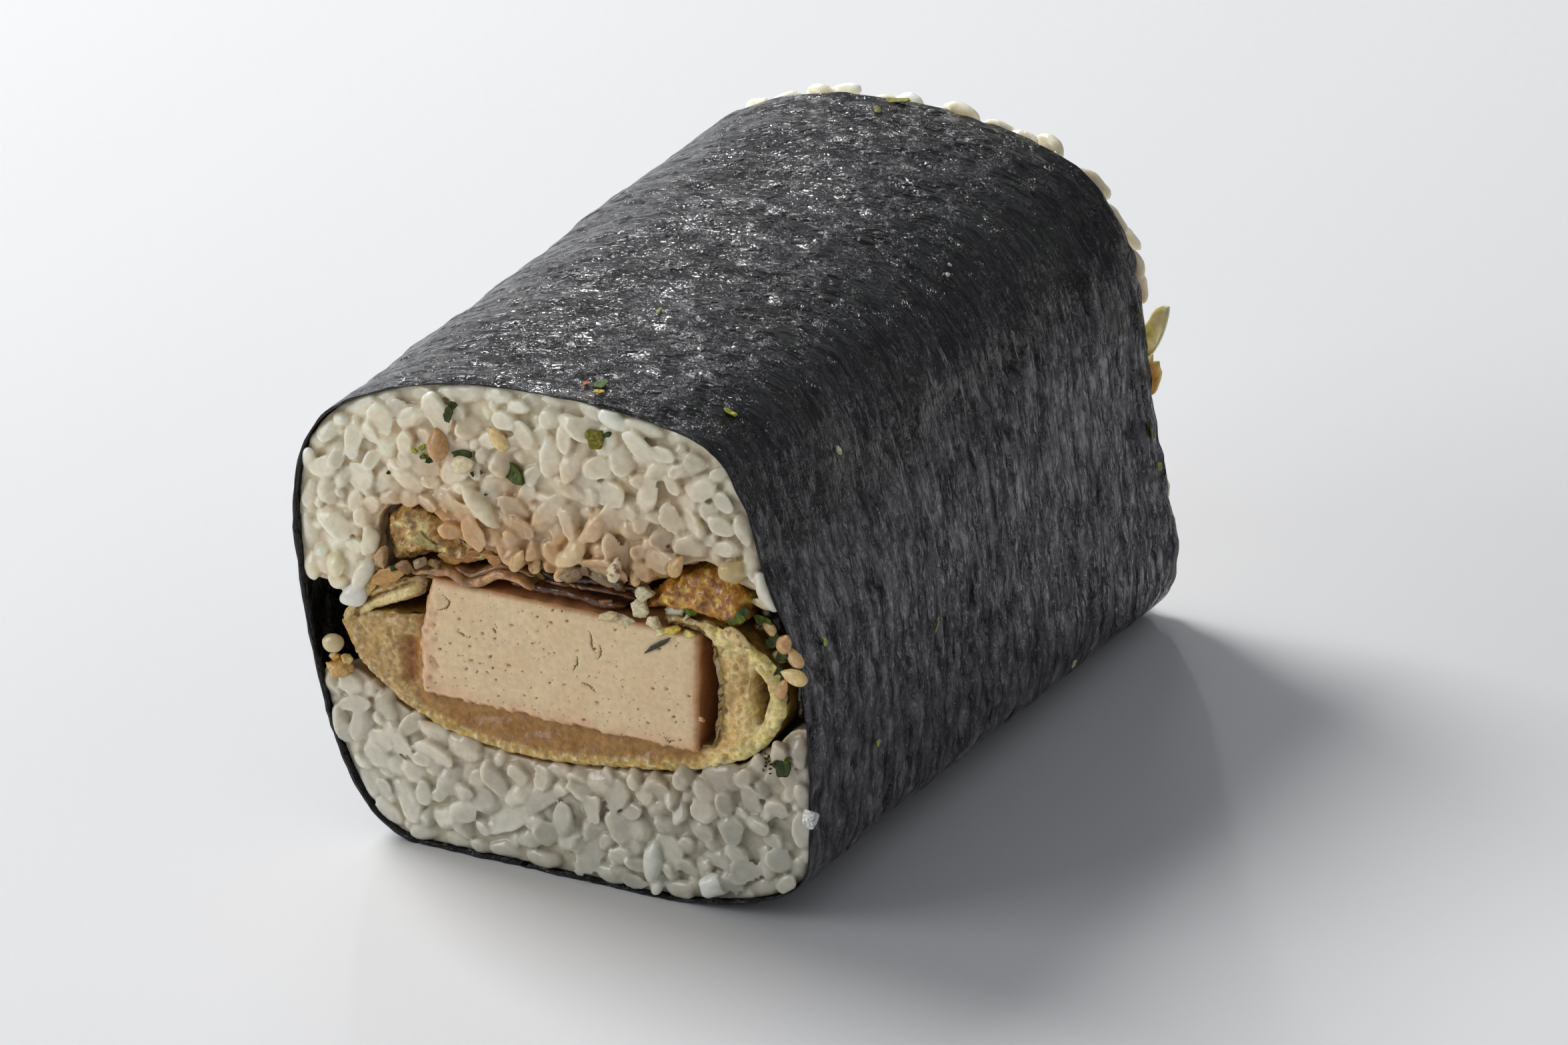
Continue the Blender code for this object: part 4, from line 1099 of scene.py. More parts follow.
# ---- the fried skin ----------------------------------------------------------------------------------
def make_skin(look):
    """Puffed fried skin: a soaked tan band under the slab, a crisp yellow margin, and airy folds. It has
    painted shadow along the slab's lower edge, painted shade in its pores, crease, amber hollow, groove
    and pocket, and painted sparkle on its crust.
    """
    underside = curve(SKIN_UNDERSIDE, 6, closed=False)
    within = np.array(SKIN_INSIDE, float)
    under_slab = within[:, 1] == SKIN_UNDER_SLAB  # these reach in behind the slab's face
    within[under_slab] += np.column_stack([-0.05 * within[under_slab, 0], np.full(under_slab.sum(), 1.1)])
    within[(within[:, 0] > 18.2) & (within[:, 1] > 20) & (within[:, 1] < 31), 0] -= 0.7
    beside_slab = (within[:, 0] < -16) & (within[:, 1] > 18)
    within[beside_slab & (within[:, 0] > -18), 0] += 0.9
    lip = even(np.array([SKIN_CREVICE, (-17.4, 30.0)]), 0.5, closed=False)
    loop = even(np.vstack([underside, within]), 0.34)
    loop = loop + 0.12 * np.stack([waves(loop, 1.2, 71), waves(loop, 1.2, 72)], 1)
    pocket = even(curve(SKIN_POCKET, 3), 0.3)
    points, tris = triangulate([loop, pocket], lambda p: inside(p, loop), 0.3, 4)
    x, z = points[:, 0], points[:, 1]
    edge, under, leaf = away(points, loop), away(points, underside, False), away(points, lip, False)
    above = z > SKIN_CREVICE[1] + (x - SKIN_CREVICE[0]) * CREVICE_RISE
    pocket_depth = np.where(inside(points, pocket), away(points, pocket), 0)
    right, left = step(16.6, 19.0, x), step(-16.2, -18.4, x)
    band = 1 - right - left
    pores = rough(points, 0.95, 73, 3)
    grit = rough(points, 0.55, 75, 2)
    wander = 0.5 * np.stack([waves(points, 2.0, 68), waves(points, 2.0, 69)], 1)
    wrinkle = waves(points + wander, (1.1, 2.6, 1), 67)
    pale = left * above * step(1.3, 1.0, leaf)  # the smooth lip of the left fold
    airy = right + pale
    relief = rounded(edge, 0.5, 0.6)
    ragged = step(1.7, 2.5, under + 0.3 * waves(points, 1.6, 65))
    relief += right * (0.6 * np.maximum(-pores, 0) + 0.3 * wrinkle + 1.1 * ragged)
    relief += left * (0.3 * np.maximum(-pores, 0) + 0.22 * wrinkle) * (1 - pale)
    ripples = 0.22 * waves(points, (4.0, 1.2, 1), 74)
    relief += band * (0.55 * step(3.2, 1.0, 18.3 - z) + ripples + 0.08 * pores)
    crust = np.maximum(step(1.7, 0.9, under), left * step(0.9, 1.4, leaf) * above)
    relief -= 0.2 * grit * np.maximum(crust, 0.8 * left * (1 - pale))
    crease = left * above * np.exp(-(((leaf - 1.25) / 0.2) ** 2))
    relief += 0.9 * crease
    groove = np.exp(-(((x - 22.1 - 0.15 * (z - 28)) / 0.45) ** 2)) * step(32, 30.6, z) * step(25.0, 26.5, z)
    amber = np.exp(-(((x + 18.3) / 0.9) ** 2)) * step(18.6, 20.0, z) * step(25.2, 23.8, z)
    relief += 0.5 * groove + 1.1 * amber + 4.5 * step(0.0, 0.45, pocket_depth)
    stations = SLAB_STATIONS + [HALF]
    verts, faces = extrude(points, tris, stations, relief, uneven(0.16, (1.6, 2.5, 1.6), 76))
    tan, gold = np.array(rgb(180, 130, 60)), np.array(rgb(220, 182, 90))
    membrane = right * step(23.0, 21.4, x + 0.5 * waves(points, 1.8, 66)) * step(30.6, 28.8, z)
    colour = painted(tan, [
        # painted shadow along the slab's lower edge
        (tan * 0.7, band * step(1.6, 0.1, edge) * step(1.2, 2.4, under)),
        (rgb(196, 150, 76), 0.5 * band * step(0.1, 0.8, waves(points, (3.0, 1.0, 1), 70))),
        (gold, step(1.7, 0.9, under + 0.5 * waves(points, 0.9, 77)) * 0.85),
        (rgb(206, 166, 96), left),
        (rgb(255, 232, 160), airy),
        (rgb(250, 204, 124), 0.75 * membrane),
        (rgb(255, 236, 142), right * step(1.9, 0.6, under + 0.4 * waves(points, 1.0, 78)) * 0.9),
        (rgb(226, 188, 112), left * above * step(1.3, 1.6, leaf) * 0.7),
        # painted shade in the hollows of the pores
        (rgb(214, 170, 96), np.maximum(airy, left) * np.clip(-pores - 0.1, 0, 0.7)),
        # pale grit on the crust: partly its own colour, partly painted sparkle on the proud grains
        (rgb(250, 238, 196), np.clip(grit * 1.6, 0, 0.8) * np.maximum(crust, 0.6 * right + 0.45 * left)),
        # browner in the amber hollow and the fold's crease: partly their own amber colour, partly painted
        # shade
        (rgb(176, 108, 40), np.clip(amber + 0.6 * crease, 0, 0.85)),
        # painted shade in the groove and the pocket's hole
        (rgb(120, 74, 34), np.clip(groove * 0.3 + step(0.05, 0.4, pocket_depth), 0, 1)),
    ])
    walls = verts[2 * len(points) :]
    side = blend(gold * 0.75, tan * 0.7, 0.5 + 0.5 * waves(walls, 3.0, 79).clip(-1, 1))
    return piece("skin", verts, faces, look, ["fried_skin"], "fried_skin", np.vstack([colour, colour, side]))


# ---- strips, fritters and relish ----------------------------------------------------------------------
STRIP_LAYERS = [  # path, thickness, how far behind the cut, colour
    ([(-17.8, 32.4), (-15.6, 33.0), (-13.4, 33.3), (-11.3, 32.5), (-9.2, 33.2), (-7.4, 34.3), (-5.2, 34.3),
      (-3.2, 33.4)], 0.9, 0.25, rgb(204, 156, 104)),
    ([(-12.8, 33.9), (-10.8, 33.4), (-8.8, 34.3), (-6.4, 35.4), (-3.0, 34.9)], 0.65, 0.7, rgb(166, 118, 74)),
    ([(-6.2, 33.3), (-1.6, 33.3), (1.4, 33.4), (4.4, 33.0), (7.6, 33.3)], 0.95, 1.2, rgb(100, 60, 32)),
    ([(-3.4, 35.0), (0.2, 34.5), (3.6, 35.2), (6.6, 35.1), (8.9, 35.4)], 0.9, 2.0, rgb(72, 40, 20)),
    ([(-2.2, 34.1), (2.4, 34.3), (5.2, 34.5), (8.6, 34.2)], 0.5, 1.6, rgb(112, 70, 38)),
]
SHREDS = [  # x, z, turn, length and its two colours, pale partly as painted light shining through them
    (28.6, 34.6, 62, 7.8, rgb(246, 244, 206), rgb(220, 222, 150)),
    (28.2, 28.9, 78, 6.0, rgb(222, 198, 138), rgb(170, 148, 88)),
]


def ribbon(path, thickness, spacing, seed):
    """The cut edge of a strip: a wavy band along the path."""
    line = even(curve(path, 8, closed=False), spacing, closed=False)
    run = np.gradient(line, axis=0)
    run /= np.linalg.norm(run, axis=1)[:, None]
    side = np.stack([-run[:, 1], run[:, 0]], 1)
    share = np.linspace(0, 1, len(line))
    wide = thickness / 2 * (1 - np.abs(2 * share - 1) ** 6) ** 0.5 * (1 + 0.3 * waves(line, 1.7, seed))
    wide = np.maximum(wide, 0.08)[:, None]
    return np.vstack([line - side * wide, (line + side * wide)[::-1]])


def make_strips(look):
    """Braised strips, dark and half clear: thin wavy layers on a darker bed of them."""
    heap = Heap()

    def add(loop, stations, spacing, seed, colour, rounding, waviness):
        points, tris = triangulate([loop], lambda p: inside(p, loop), spacing, seed)
        relief = rounded(away(points, loop), rounding, rounding) + waviness * rough(points, 1.4, seed + 1)
        verts, faces = extrude(points, tris, stations, relief)
        tone = 1 + 0.35 * rough(verts, 1.5, seed + 2)
        heap.add(verts, faces, np.array(colour) * tone[:, None])

    bed = even(curve(STRIPS, 4), 0.45)
    add(bed, [-HALF + 3.0, -HALF + 8, 0, HALF - 8, HALF - 2.0], 0.5, 81, rgb(64, 36, 18), 0.5, 0.3)
    for k, (path, thickness, recess, colour) in enumerate(STRIP_LAYERS):
        near = -HALF + recess
        loop = ribbon(path, thickness, 0.3, 90 + k)
        add(loop, [near, near + 1.5, near + 5, 0, 35, HALF - 1], 0.3, 100 + 7 * k, colour, 0.25, 0.16)
    return heap.done("strips", look, ["braised_strips"], "braised")


def make_fritter(name, outline, look, slot, recess, colours, seed):
    """A craggy fried piece: rounded at its ends, rough with crisp crumbs."""
    near = -HALF + recess
    loop = even(curve(outline, 5), 0.3)
    loop = loop + 0.22 * np.stack([rough(loop, 1.1, seed), rough(loop, 1.1, seed + 1)], 1)
    points, tris = triangulate([loop], lambda p: inside(p, loop), 0.27, seed)
    crags = rough(points, 1.1, seed + 2, 4)
    relief = rounded(away(points, loop), 1.3, 1.5) - 0.5 * crags + 0.5 * waves(points, 3.4, seed + 3)
    stations = [near, near + 1.4, near + 3, -HALF + 7, -20, 0, 20, HALF - 5, HALF - 0.6]
    verts, faces = extrude(points, tris, stations, relief, uneven(0.3, 2.0, seed + 4))
    dark, mid, light = colours
    places = np.vstack([points, points, verts[2 * len(points) :][:, [0, 2]]])
    tone = rough(places, 0.9, seed + 5, 3)
    colour = painted(mid, [
        # The light tone is partly the fried crumbs' own colour and partly painted highlight.
        (light, step(0.0, 0.55, tone)),
        (dark, step(-0.05, -0.6, tone + 0.4 * waves(places, 2.6, seed + 6))),
    ])
    return piece(name, verts, faces, look, [name], slot, colour)


def make_relish(look):
    """Seaweed and sauce beside the fold: dark, wet lumps, and the shreds that stick out at the far end."""
    loop = even(curve(RELISH, 4), 0.35)
    points, tris = triangulate([loop], lambda p: inside(p, loop), 0.35, 131)
    relief = rounded(away(points, loop), 0.8, 0.9) - 0.7 * rough(points, 1.8, 132, 3)
    verts, faces = extrude(points, tris, [-HALF + 2.0, -HALF + 4, -HALF + 9, 0, HALF - 6, HALF - 2.0], relief)
    colour = painted(rgb(58, 42, 20), [
        (rgb(128, 90, 38), step(-0.2, 0.7, rough(verts, 1.6, 133, 3))),
        (rgb(38, 46, 20), step(0.1, 0.6, waves(verts, 2.2, 134))),
    ])
    made = piece("relish", verts, faces, look, ["seaweed_relish"], "relish", colour)
    heap = Heap()
    for k, (x, z, turn, length, light, dark) in enumerate(SHREDS):
        shape, faces, _ = flake(length, 3.2, 190 + k, (1, 1, 1), 0.3, 0.3, 0.9)
        shape[:, 1] *= 1 - 0.6 * shape[:, 0] / length
        tone = blend(light, dark, step(0.1, 0.7, rough(shape, 1.4, 192 + k)))
        heap.add(laid(shape, np.array([x, HALF + 2.0, z]), turned(turn), (0.35, 1.0, 0)), faces, tone)
    heap.done("shreds", soft_look("shred"), ["seaweed_relish"], "relish")
    return made


# ---- seeds, flakes, crumbs and single grains ---------------------------------------------------------
class Ground:
    """What is there to lay small things on."""

    START = -70.0  # the y from which to look for the cut face
    MIDDLE = 28  # the z of the roll's middle

    def __init__(self, pieces):
        graph = bpy.context.evaluated_depsgraph_get()
        self.trees = [bvhtree.BVHTree.FromObject(piece, graph) for piece in pieces]

    def facing(self, x, z):
        """The y of the cut face at x and z, or of its plane where there is nothing."""
        start = (np.array([x, self.START, z]) + SHIFT) * MM
        found = [tree.ray_cast(Vector(start), Vector((0, 1, 0)), 0.06) for tree in self.trees]
        gaps = [hit[3] / MM for hit in found if hit[0]]
        return self.START + min(gaps) if gaps else -HALF

    def nearest(self, place):
        """The closest place on the pieces and the way out of the roll there."""
        found = [tree.find_nearest(Vector((np.array(place) + SHIFT) * MM)) for tree in self.trees]
        hit = min((h for h in found if h[0]), key=lambda h: h[3])
        there, up = np.array(hit[0]) / MM - SHIFT, np.array(hit[1])
        return there, up if up @ (there - (0, there[1], self.MIDDLE)) > 0 else -up


def laid(shape, place, along, up):
    """The shape's verts, x along, y across and z up, at the place."""
    up = np.asarray(up, float) / np.linalg.norm(up)
    along = np.asarray(along, float) - up * np.dot(along, up)
    along /= np.linalg.norm(along)
    across = np.cross(up, along)
    return place + shape[:, :1] * along + shape[:, 1:2] * across + shape[:, 2:] * up


def turned(degrees):
    """The way to a side of the cut face, from the right towards the top."""
    return np.array([math.cos(math.radians(degrees)), 0, math.sin(math.radians(degrees))])


def ball(rows, around):
    """A round body from its one end on x to the other, as t along it, the turn and the faces."""
    t = np.repeat((1 - np.cos(np.linspace(0, math.pi, rows + 1))[1:-1]) / 2, around)
    turn = np.tile(np.arange(around) * math.tau / around, rows - 1)
    t, turn = np.append(t, [0, 1]), np.append(turn, [0, 0])
    last = (rows - 2) * around
    faces = []
    for row in range(rows - 2):
        for k in range(around):
            a, b = row * around + k, row * around + (k + 1) % around
            faces.append((a, a + around, b + around, b))
    low, high = len(t) - 2, len(t) - 1
    faces += [(low, k, (k + 1) % around) for k in range(around)]
    faces += [(high, last + (k + 1) % around, last + k) for k in range(around)]
    return t, turn, faces


def seed(length, width, number, dots, colour):
    """A sesame seed: flat, blunt at one end and drawn to a point at the other."""
    t, turn, faces = ball(16, 20)
    girth = np.clip(t, 0, 1) ** 0.5 * np.clip(1 - t, 0, 1) ** 0.8
    girth = girth / girth.max()
    round_off = np.abs(np.sin(turn)) ** 1.3 * np.sign(np.sin(turn))  # which leaves a rim all round
    wide, high = girth * np.cos(turn) * width / 2, girth * round_off * width * 0.26
    shape = np.column_stack([(t - 0.45) * length, wide, high])
    shape *= (1 + 0.06 * rough(shape + number * 5.0, 1.0, 160))[:, None]
    darker = step(0.86, 1.0, t) * 0.8 + step(0.12, 0.0, t) * 0.4  # at both ends
    tone = blend(colour, np.array(colour) * 0.62, darker)
    tone = tone * (1 + 0.10 * waves(shape + number * 3.0, 0.8, 161))[:, None]
    if dots:
        tone = blend(tone, rgb(120, 48, 22), dots * step(0.25, 0.5, waves(shape + number, 0.55, 162)))
    return shape, faces, tone


def flake(length, width, number, colour, thick, ragged, curl=0.25):
    """A torn flake of dried leaf: thin, ragged and a little curled."""
    rings, around = 5, 26
    at = np.arange(around) * math.tau / around
    circle = np.column_stack([np.cos(at), np.sin(at), np.full(around, number * 1.7)])
    rim = 1 + ragged * rough(circle, 0.9, 163, 3)
    flat = [np.zeros((1, 2))]
    for ring in range(1, rings + 1):
        share = ring / rings
        reach = share * (1 + (rim - 1) * share)
        flat.append(np.column_stack([np.cos(at) * reach * length / 2, np.sin(at) * reach * width / 2]))
    flat = np.vstack(flat)

    def numbered(apart):
        """The flat points in a layer of the noise that is this flake's own."""
        return np.column_stack([flat, np.full(len(flat), number * apart)])

    lift = curl * waves(numbered(2.3), max(length, width) * 0.6, 164)
    lift = lift + 0.06 * rough(numbered(1.1), 0.5, 165)
    top = np.column_stack([flat, lift + thick / 2])
    bottom = np.column_stack([flat * 0.97, lift - thick / 2])
    count = len(flat)
    faces = []
    for k in range(around):
        a, b = 1 + k, 1 + (k + 1) % around
        faces += [(0, a, b), (count, count + b, count + a)]
        for ring in range(rings - 1):
            low, high = ring * around, (ring + 1) * around
            faces += [(low + a, high + a, high + b, low + b)]
            faces += [(count + low + b, count + high + b, count + high + a, count + low + a)]
        edge = (rings - 1) * around
        faces.append((edge + a, count + edge + a, count + edge + b, edge + b))
    shape = np.vstack([top, bottom])
    tone = np.array(colour) * (1 + 0.4 * rough(shape + number, 0.7, 166))[:, None]
    return shape, faces, tone


def crumb(length, width, height, number, colour, jagged):
    """A broken little lump, its sides chipped flat here and there."""
    chips, swell = 9, 1.2  # which makes up for what the chips take
    t, turn, faces = ball(16, 22)
    girth = 2 * np.sqrt(np.clip(t * (1 - t), 0, 1))
    shape = np.column_stack([2 * t - 1, girth * np.cos(turn), girth * np.sin(turn)])
    rng = np.random.default_rng(900 + number)
    for _ in range(chips):
        chip = rng.normal(size=3)
        chip /= np.linalg.norm(chip)
        over = np.maximum(shape @ chip - rng.uniform(0.42, 0.8), 0)
        shape = shape - np.outer(over, chip) * 0.9
    shape *= (1 + 0.5 * jagged * rough(shape + number * 3.1, 0.6, 167, 3))[:, None] * swell
    tone = np.array(colour) * (1 + 0.3 * rough(shape + number, 0.5, 168))[:, None]
    return shape * [length / 2, width / 2, height / 2], faces, tone


FRONT = np.array([0.0, -1.0, 0.0])
PALE, YELLOW, TAN, BROWN = rgb(240, 224, 182), rgb(242, 214, 150), rgb(226, 190, 132), rgb(212, 168, 112)
SEEDS_ON_RICE = [  # x, z, length, width, turn to the tip, colour, red-brown dots
    (-14.0, 48.6, 3.9, 2.5, 96, BROWN, 0.2), (-6.6, 50.7, 3.3, 1.9, 132, YELLOW, 0),
    (-11.1, 46.9, 3.2, 2.1, 24, PALE, 0), (14.9, 40.4, 2.8, 1.9, 64, TAN, 0.3),
    (7.5, 38.4, 3.0, 1.9, 84, PALE, 0.9), (-4.4, 37.0, 3.0, 1.6, 62, TAN, 0.2),
    (-2.8, 36.4, 2.3, 1.5, 80, TAN, 0.9), (9.4, 37.6, 2.4, 1.5, 110, TAN, 0.4),
]
SEEDS_IN_RELISH = [
    (24.1, 36.9, 3.3, 1.3, 176, PALE, 0), (21.9, 33.4, 3.6, 1.9, -26, YELLOW, 0.7),
    (27.6, 33.8, 2.8, 1.9, 60, BROWN, 0.4), (28.6, 32.2, 3.0, 1.9, 128, TAN, 0.2),
    (28.9, 30.2, 3.3, 1.9, 172, YELLOW, 0), (26.0, 31.0, 2.6, 1.6, 20, TAN, 0.2),
    (27.3, 28.4, 2.6, 1.6, 70, BROWN, 0.2), (24.8, 34.2, 2.4, 1.5, 150, TAN, 0.3),
]
DARK_GREEN, GREEN, OLIVE, LIME = rgb(56, 70, 12), rgb(100, 120, 22), rgb(146, 138, 44), rgb(178, 190, 40)
FLAKES_ON_RICE = [  # x, z, length, width, turn, colour, thickness
    (-12.5, 52.7, 2.2, 1.2, 70, DARK_GREEN, 0.14), (-12.0, 53.9, 1.3, 0.9, 30, DARK_GREEN, 0.14),
    (-16.9, 47.3, 0.9, 0.7, 0, LIME, 0.2), (-16.1, 47.8, 0.8, 0.6, 60, LIME, 0.2),
    (-15.9, 46.8, 0.9, 0.6, 20, GREEN, 0.2), (-14.9, 47.5, 1.3, 0.9, 100, DARK_GREEN, 0.16),
    (-15.3, 46.4, 0.9, 0.6, 10, DARK_GREEN, 0.16), (-11.2, 48.0, 2.4, 1.1, 14, DARK_GREEN, 0.16),
    (-10.2, 47.2, 1.2, 0.7, 70, GREEN, 0.16), (-5.4, 47.0, 4.1, 1.8, -28, rgb(84, 98, 28), 0.34),
    (5.0, 53.2, 2.0, 2.2, 20, OLIVE, 0.2), (6.5, 53.9, 1.3, 0.7, 30, DARK_GREEN, 0.16),
    (-20.1, 44.2, 0.5, 0.4, 0, DARK_GREEN, 0.14), (-9.9, 46.0, 0.6, 0.45, 80, DARK_GREEN, 0.14),
    (-9.1, 46.2, 0.55, 0.4, 30, DARK_GREEN, 0.14), (-8.4, 43.8, 0.35, 0.3, 0, DARK_GREEN, 0.1),
    (13.5, 42.1, 0.5, 0.35, 0, rgb(140, 80, 50), 0.12), (-19.6, 33.0, 1.2, 0.7, 20, DARK_GREEN, 0.14),
    (16.0, 34.9, 1.7, 1.0, 10, GREEN, 0.14),
]
FLAKES_IN_RELISH = [
    (21.8, 35.4, 2.6, 1.5, 30, GREEN, 0.14), (27.3, 32.4, 1.7, 1.2, 60, DARK_GREEN, 0.14),
    (24.0, 34.9, 2.4, 1.2, -10, GREEN, 0.14), (25.4, 33.0, 2.2, 1.3, 40, DARK_GREEN, 0.14),
    (26.4, 29.6, 1.8, 1.1, 80, DARK_GREEN, 0.14), (22.9, 36.6, 1.6, 0.9, 15, DARK_GREEN, 0.14),
]
FLAKES_ON_LOWER_RICE = [
    (27.4, 19.3, 2.1, 1.9, 20, DARK_GREEN, 0.16), (28.1, 20.3, 1.0, 0.7, 60, GREEN, 0.14),
]
WHITE, CREAM = rgb(246, 240, 222), rgb(238, 226, 186)
CRUMBS = [  # x, z, length, width, height, turn, colour
    (-3.4, 34.1, 1.5, 2.2, 1.0, 20, rgb(232, 186, 96)), (-3.0, 35.2, 0.9, 1.0, 0.7, 60, rgb(236, 196, 110)),
    (1.2, 34.0, 1.0, 0.7, 0.5, 10, rgb(178, 52, 24)), (8.0, 31.9, 3.5, 1.5, 0.5, -14, rgb(240, 222, 180)),
    (6.4, 32.4, 2.4, 1.1, 0.5, 20, rgb(232, 208, 162)), (10.2, 34.1, 2.5, 2.1, 1.5, 40, CREAM),
    (10.7, 36.0, 1.9, 2.0, 1.3, 70, rgb(226, 214, 172)), (11.8, 33.0, 1.9, 1.5, 1.1, 0, CREAM),
    (9.2, 35.3, 1.1, 0.9, 0.8, 0, WHITE), (13.8, 34.2, 2.7, 1.7, 1.1, 24, WHITE),
    (15.2, 33.7, 1.0, 0.7, 0.6, 50, CREAM), (12.5, 31.9, 2.0, 1.2, 0.8, 10, rgb(244, 232, 170)),
    (14.1, 32.4, 1.7, 1.1, 0.8, 30, rgb(236, 208, 84)), (15.8, 32.2, 1.4, 0.9, 0.7, 0, rgb(240, 222, 130)),
    (5.2, 33.4, 2.0, 0.8, 0.5, 10, rgb(150, 104, 60)), (17.6, 22.7, 0.9, 0.6, 0.5, 0, rgb(206, 160, 104)),
    (-26.9, 19.5, 2.6, 2.4, 1.8, 0, rgb(222, 180, 104)),
    (-26.0, 20.6, 1.4, 1.2, 1.2, 40, rgb(232, 200, 132)),
    (-27.5, 20.5, 1.2, 1.1, 1.0, 40, rgb(226, 178, 96)),
    (-20.4, 31.9, 4.4, 1.7, 0.9, 36, rgb(204, 156, 80)),
    (-23.4, 29.6, 3.4, 1.2, 0.7, 50, rgb(214, 178, 102)),
    (-25.4, 26.6, 2.6, 1.0, 0.6, 58, rgb(222, 196, 130)),
    (-18.4, 33.2, 2.6, 1.5, 1.0, 16, rgb(150, 108, 54)),
    (-21.4, 33.6, 2.6, 1.6, 1.2, 70, rgb(206, 170, 124)),
    (-16.8, 34.0, 1.9, 1.5, 1.2, 40, rgb(170, 152, 116)),
    (-14.9, 34.3, 1.7, 1.2, 1.0, 0, rgb(150, 118, 62)), (-13.2, 34.9, 3.2, 1.6, 1.0, 10, rgb(196, 144, 68)),
    (-11.0, 35.6, 2.8, 1.3, 0.9, 24, rgb(176, 122, 54)), (-9.2, 36.2, 2.2, 1.1, 0.8, 10, rgb(198, 146, 76)),
    (-16.2, 36.8, 2.8, 1.8, 1.3, -30, rgb(196, 180, 118)),
    (-7.2, 36.3, 1.9, 1.2, 1.0, 0, rgb(184, 130, 62)), (1.5, 36.5, 2.8, 1.9, 1.3, 10, rgb(164, 138, 98)),
    (5.7, 36.7, 3.0, 1.8, 1.3, -10, rgb(150, 126, 90)), (9.6, 37.4, 2.6, 1.7, 1.2, 20, rgb(134, 104, 64)),
    (12.4, 38.8, 2.3, 1.6, 1.1, 30, rgb(164, 132, 80)), (-2.0, 36.5, 1.8, 1.2, 1.0, 0, rgb(104, 70, 34)),
    (7.7, 36.3, 1.5, 1.1, 0.9, 0, rgb(92, 62, 30)), (3.7, 37.4, 1.6, 1.1, 0.9, 0, rgb(118, 84, 46)),
    (14.0, 40.0, 1.8, 1.2, 1.0, 40, rgb(178, 144, 92)),
]
OWN_GRAINS = {  # those that stand out: x, z, length, width, turn, colour
    "rice_upper": [
        (21.3, 41.0, 3.6, 2.6, 20, rgb(196, 172, 112)), (25.3, 39.4, 5.0, 2.4, -70, rgb(236, 234, 218)),
        (7.1, 55.6, 3.8, 2.3, -30, rgb(252, 248, 230)), (-27.1, 31.6, 3.1, 2.4, 80, rgb(240, 230, 196)),
        (-22.9, 35.4, 3.6, 2.1, 84, rgb(240, 232, 204)), (-23.6, 31.4, 4.0, 2.2, 62, rgb(238, 234, 214)),
        (-25.0, 28.7, 3.6, 2.5, 46, rgb(236, 236, 226)), (2.0, 39.4, 5.4, 2.3, 56, rgb(232, 208, 166)),
        (-9.0, 42.2, 5.6, 2.2, -52, rgb(238, 226, 196)), (4.6, 42.6, 4.6, 2.1, 60, rgb(228, 196, 154)),
    ],
    "rice_lower": [
        (-27.6, 22.2, 2.5, 2.3, 0, rgb(208, 190, 140)), (11.5, 4.2, 4.7, 2.4, 86, rgb(226, 228, 218)),
        (19.0, 3.0, 3.7, 3.0, 30, rgb(240, 242, 234)), (12.0, 1.3, 2.0, 1.6, 70, rgb(226, 226, 212)),
    ],
}
ON_NORI = [  # place, length, width, colour, thickness
    ((32, -39.2, 32.7), 1.6, 0.9, rgb(178, 214, 96), 0.12),
    ((32, -29.6, 16.2), 1.4, 0.9, rgb(196, 204, 112), 0.12),
    ((32, -14.0, 24.0), 2.2, 0.4, rgb(170, 196, 110), 0.1),
    ((17.0, -37.1, 55.0), 1.5, 0.9, rgb(168, 168, 60), 0.12),
    ((3.5, -40.6, 59.0), 2.0, 1.1, rgb(86, 116, 34), 0.16),
    ((4.2, -42.6, 59.0), 1.3, 0.9, rgb(214, 182, 62), 0.16),
    ((2.0, -41.4, 59.0), 0.9, 0.6, rgb(206, 96, 40), 0.14),
    ((29.5, -25.0, 49.5), 1.4, 0.8, rgb(226, 236, 190), 0.12),
    ((22.6, 10.6, 57.5), 0.8, 0.5, rgb(220, 220, 214), 0.12),
    ((21.6, 12.0, 57.5), 0.5, 0.4, rgb(220, 220, 214), 0.12),
    ((0.4, -21.1, 59.0), 1.9, 0.35, rgb(170, 168, 70), 0.1),
    ((-2.4, 43.6, 60.0), 3.2, 1.3, rgb(140, 138, 52), 0.12),
    ((-3.2, 40.2, 60.0), 1.6, 0.8, rgb(128, 128, 50), 0.12),
    ((32, 42.6, 24.8), 2.6, 1.6, rgb(150, 158, 74), 0.12),
    ((32, 43.4, 19.8), 1.6, 1.0, rgb(150, 150, 74), 0.12),
    ((34, 18.4, 5.0), 1.6, 0.9, rgb(220, 220, 180), 0.12),
]


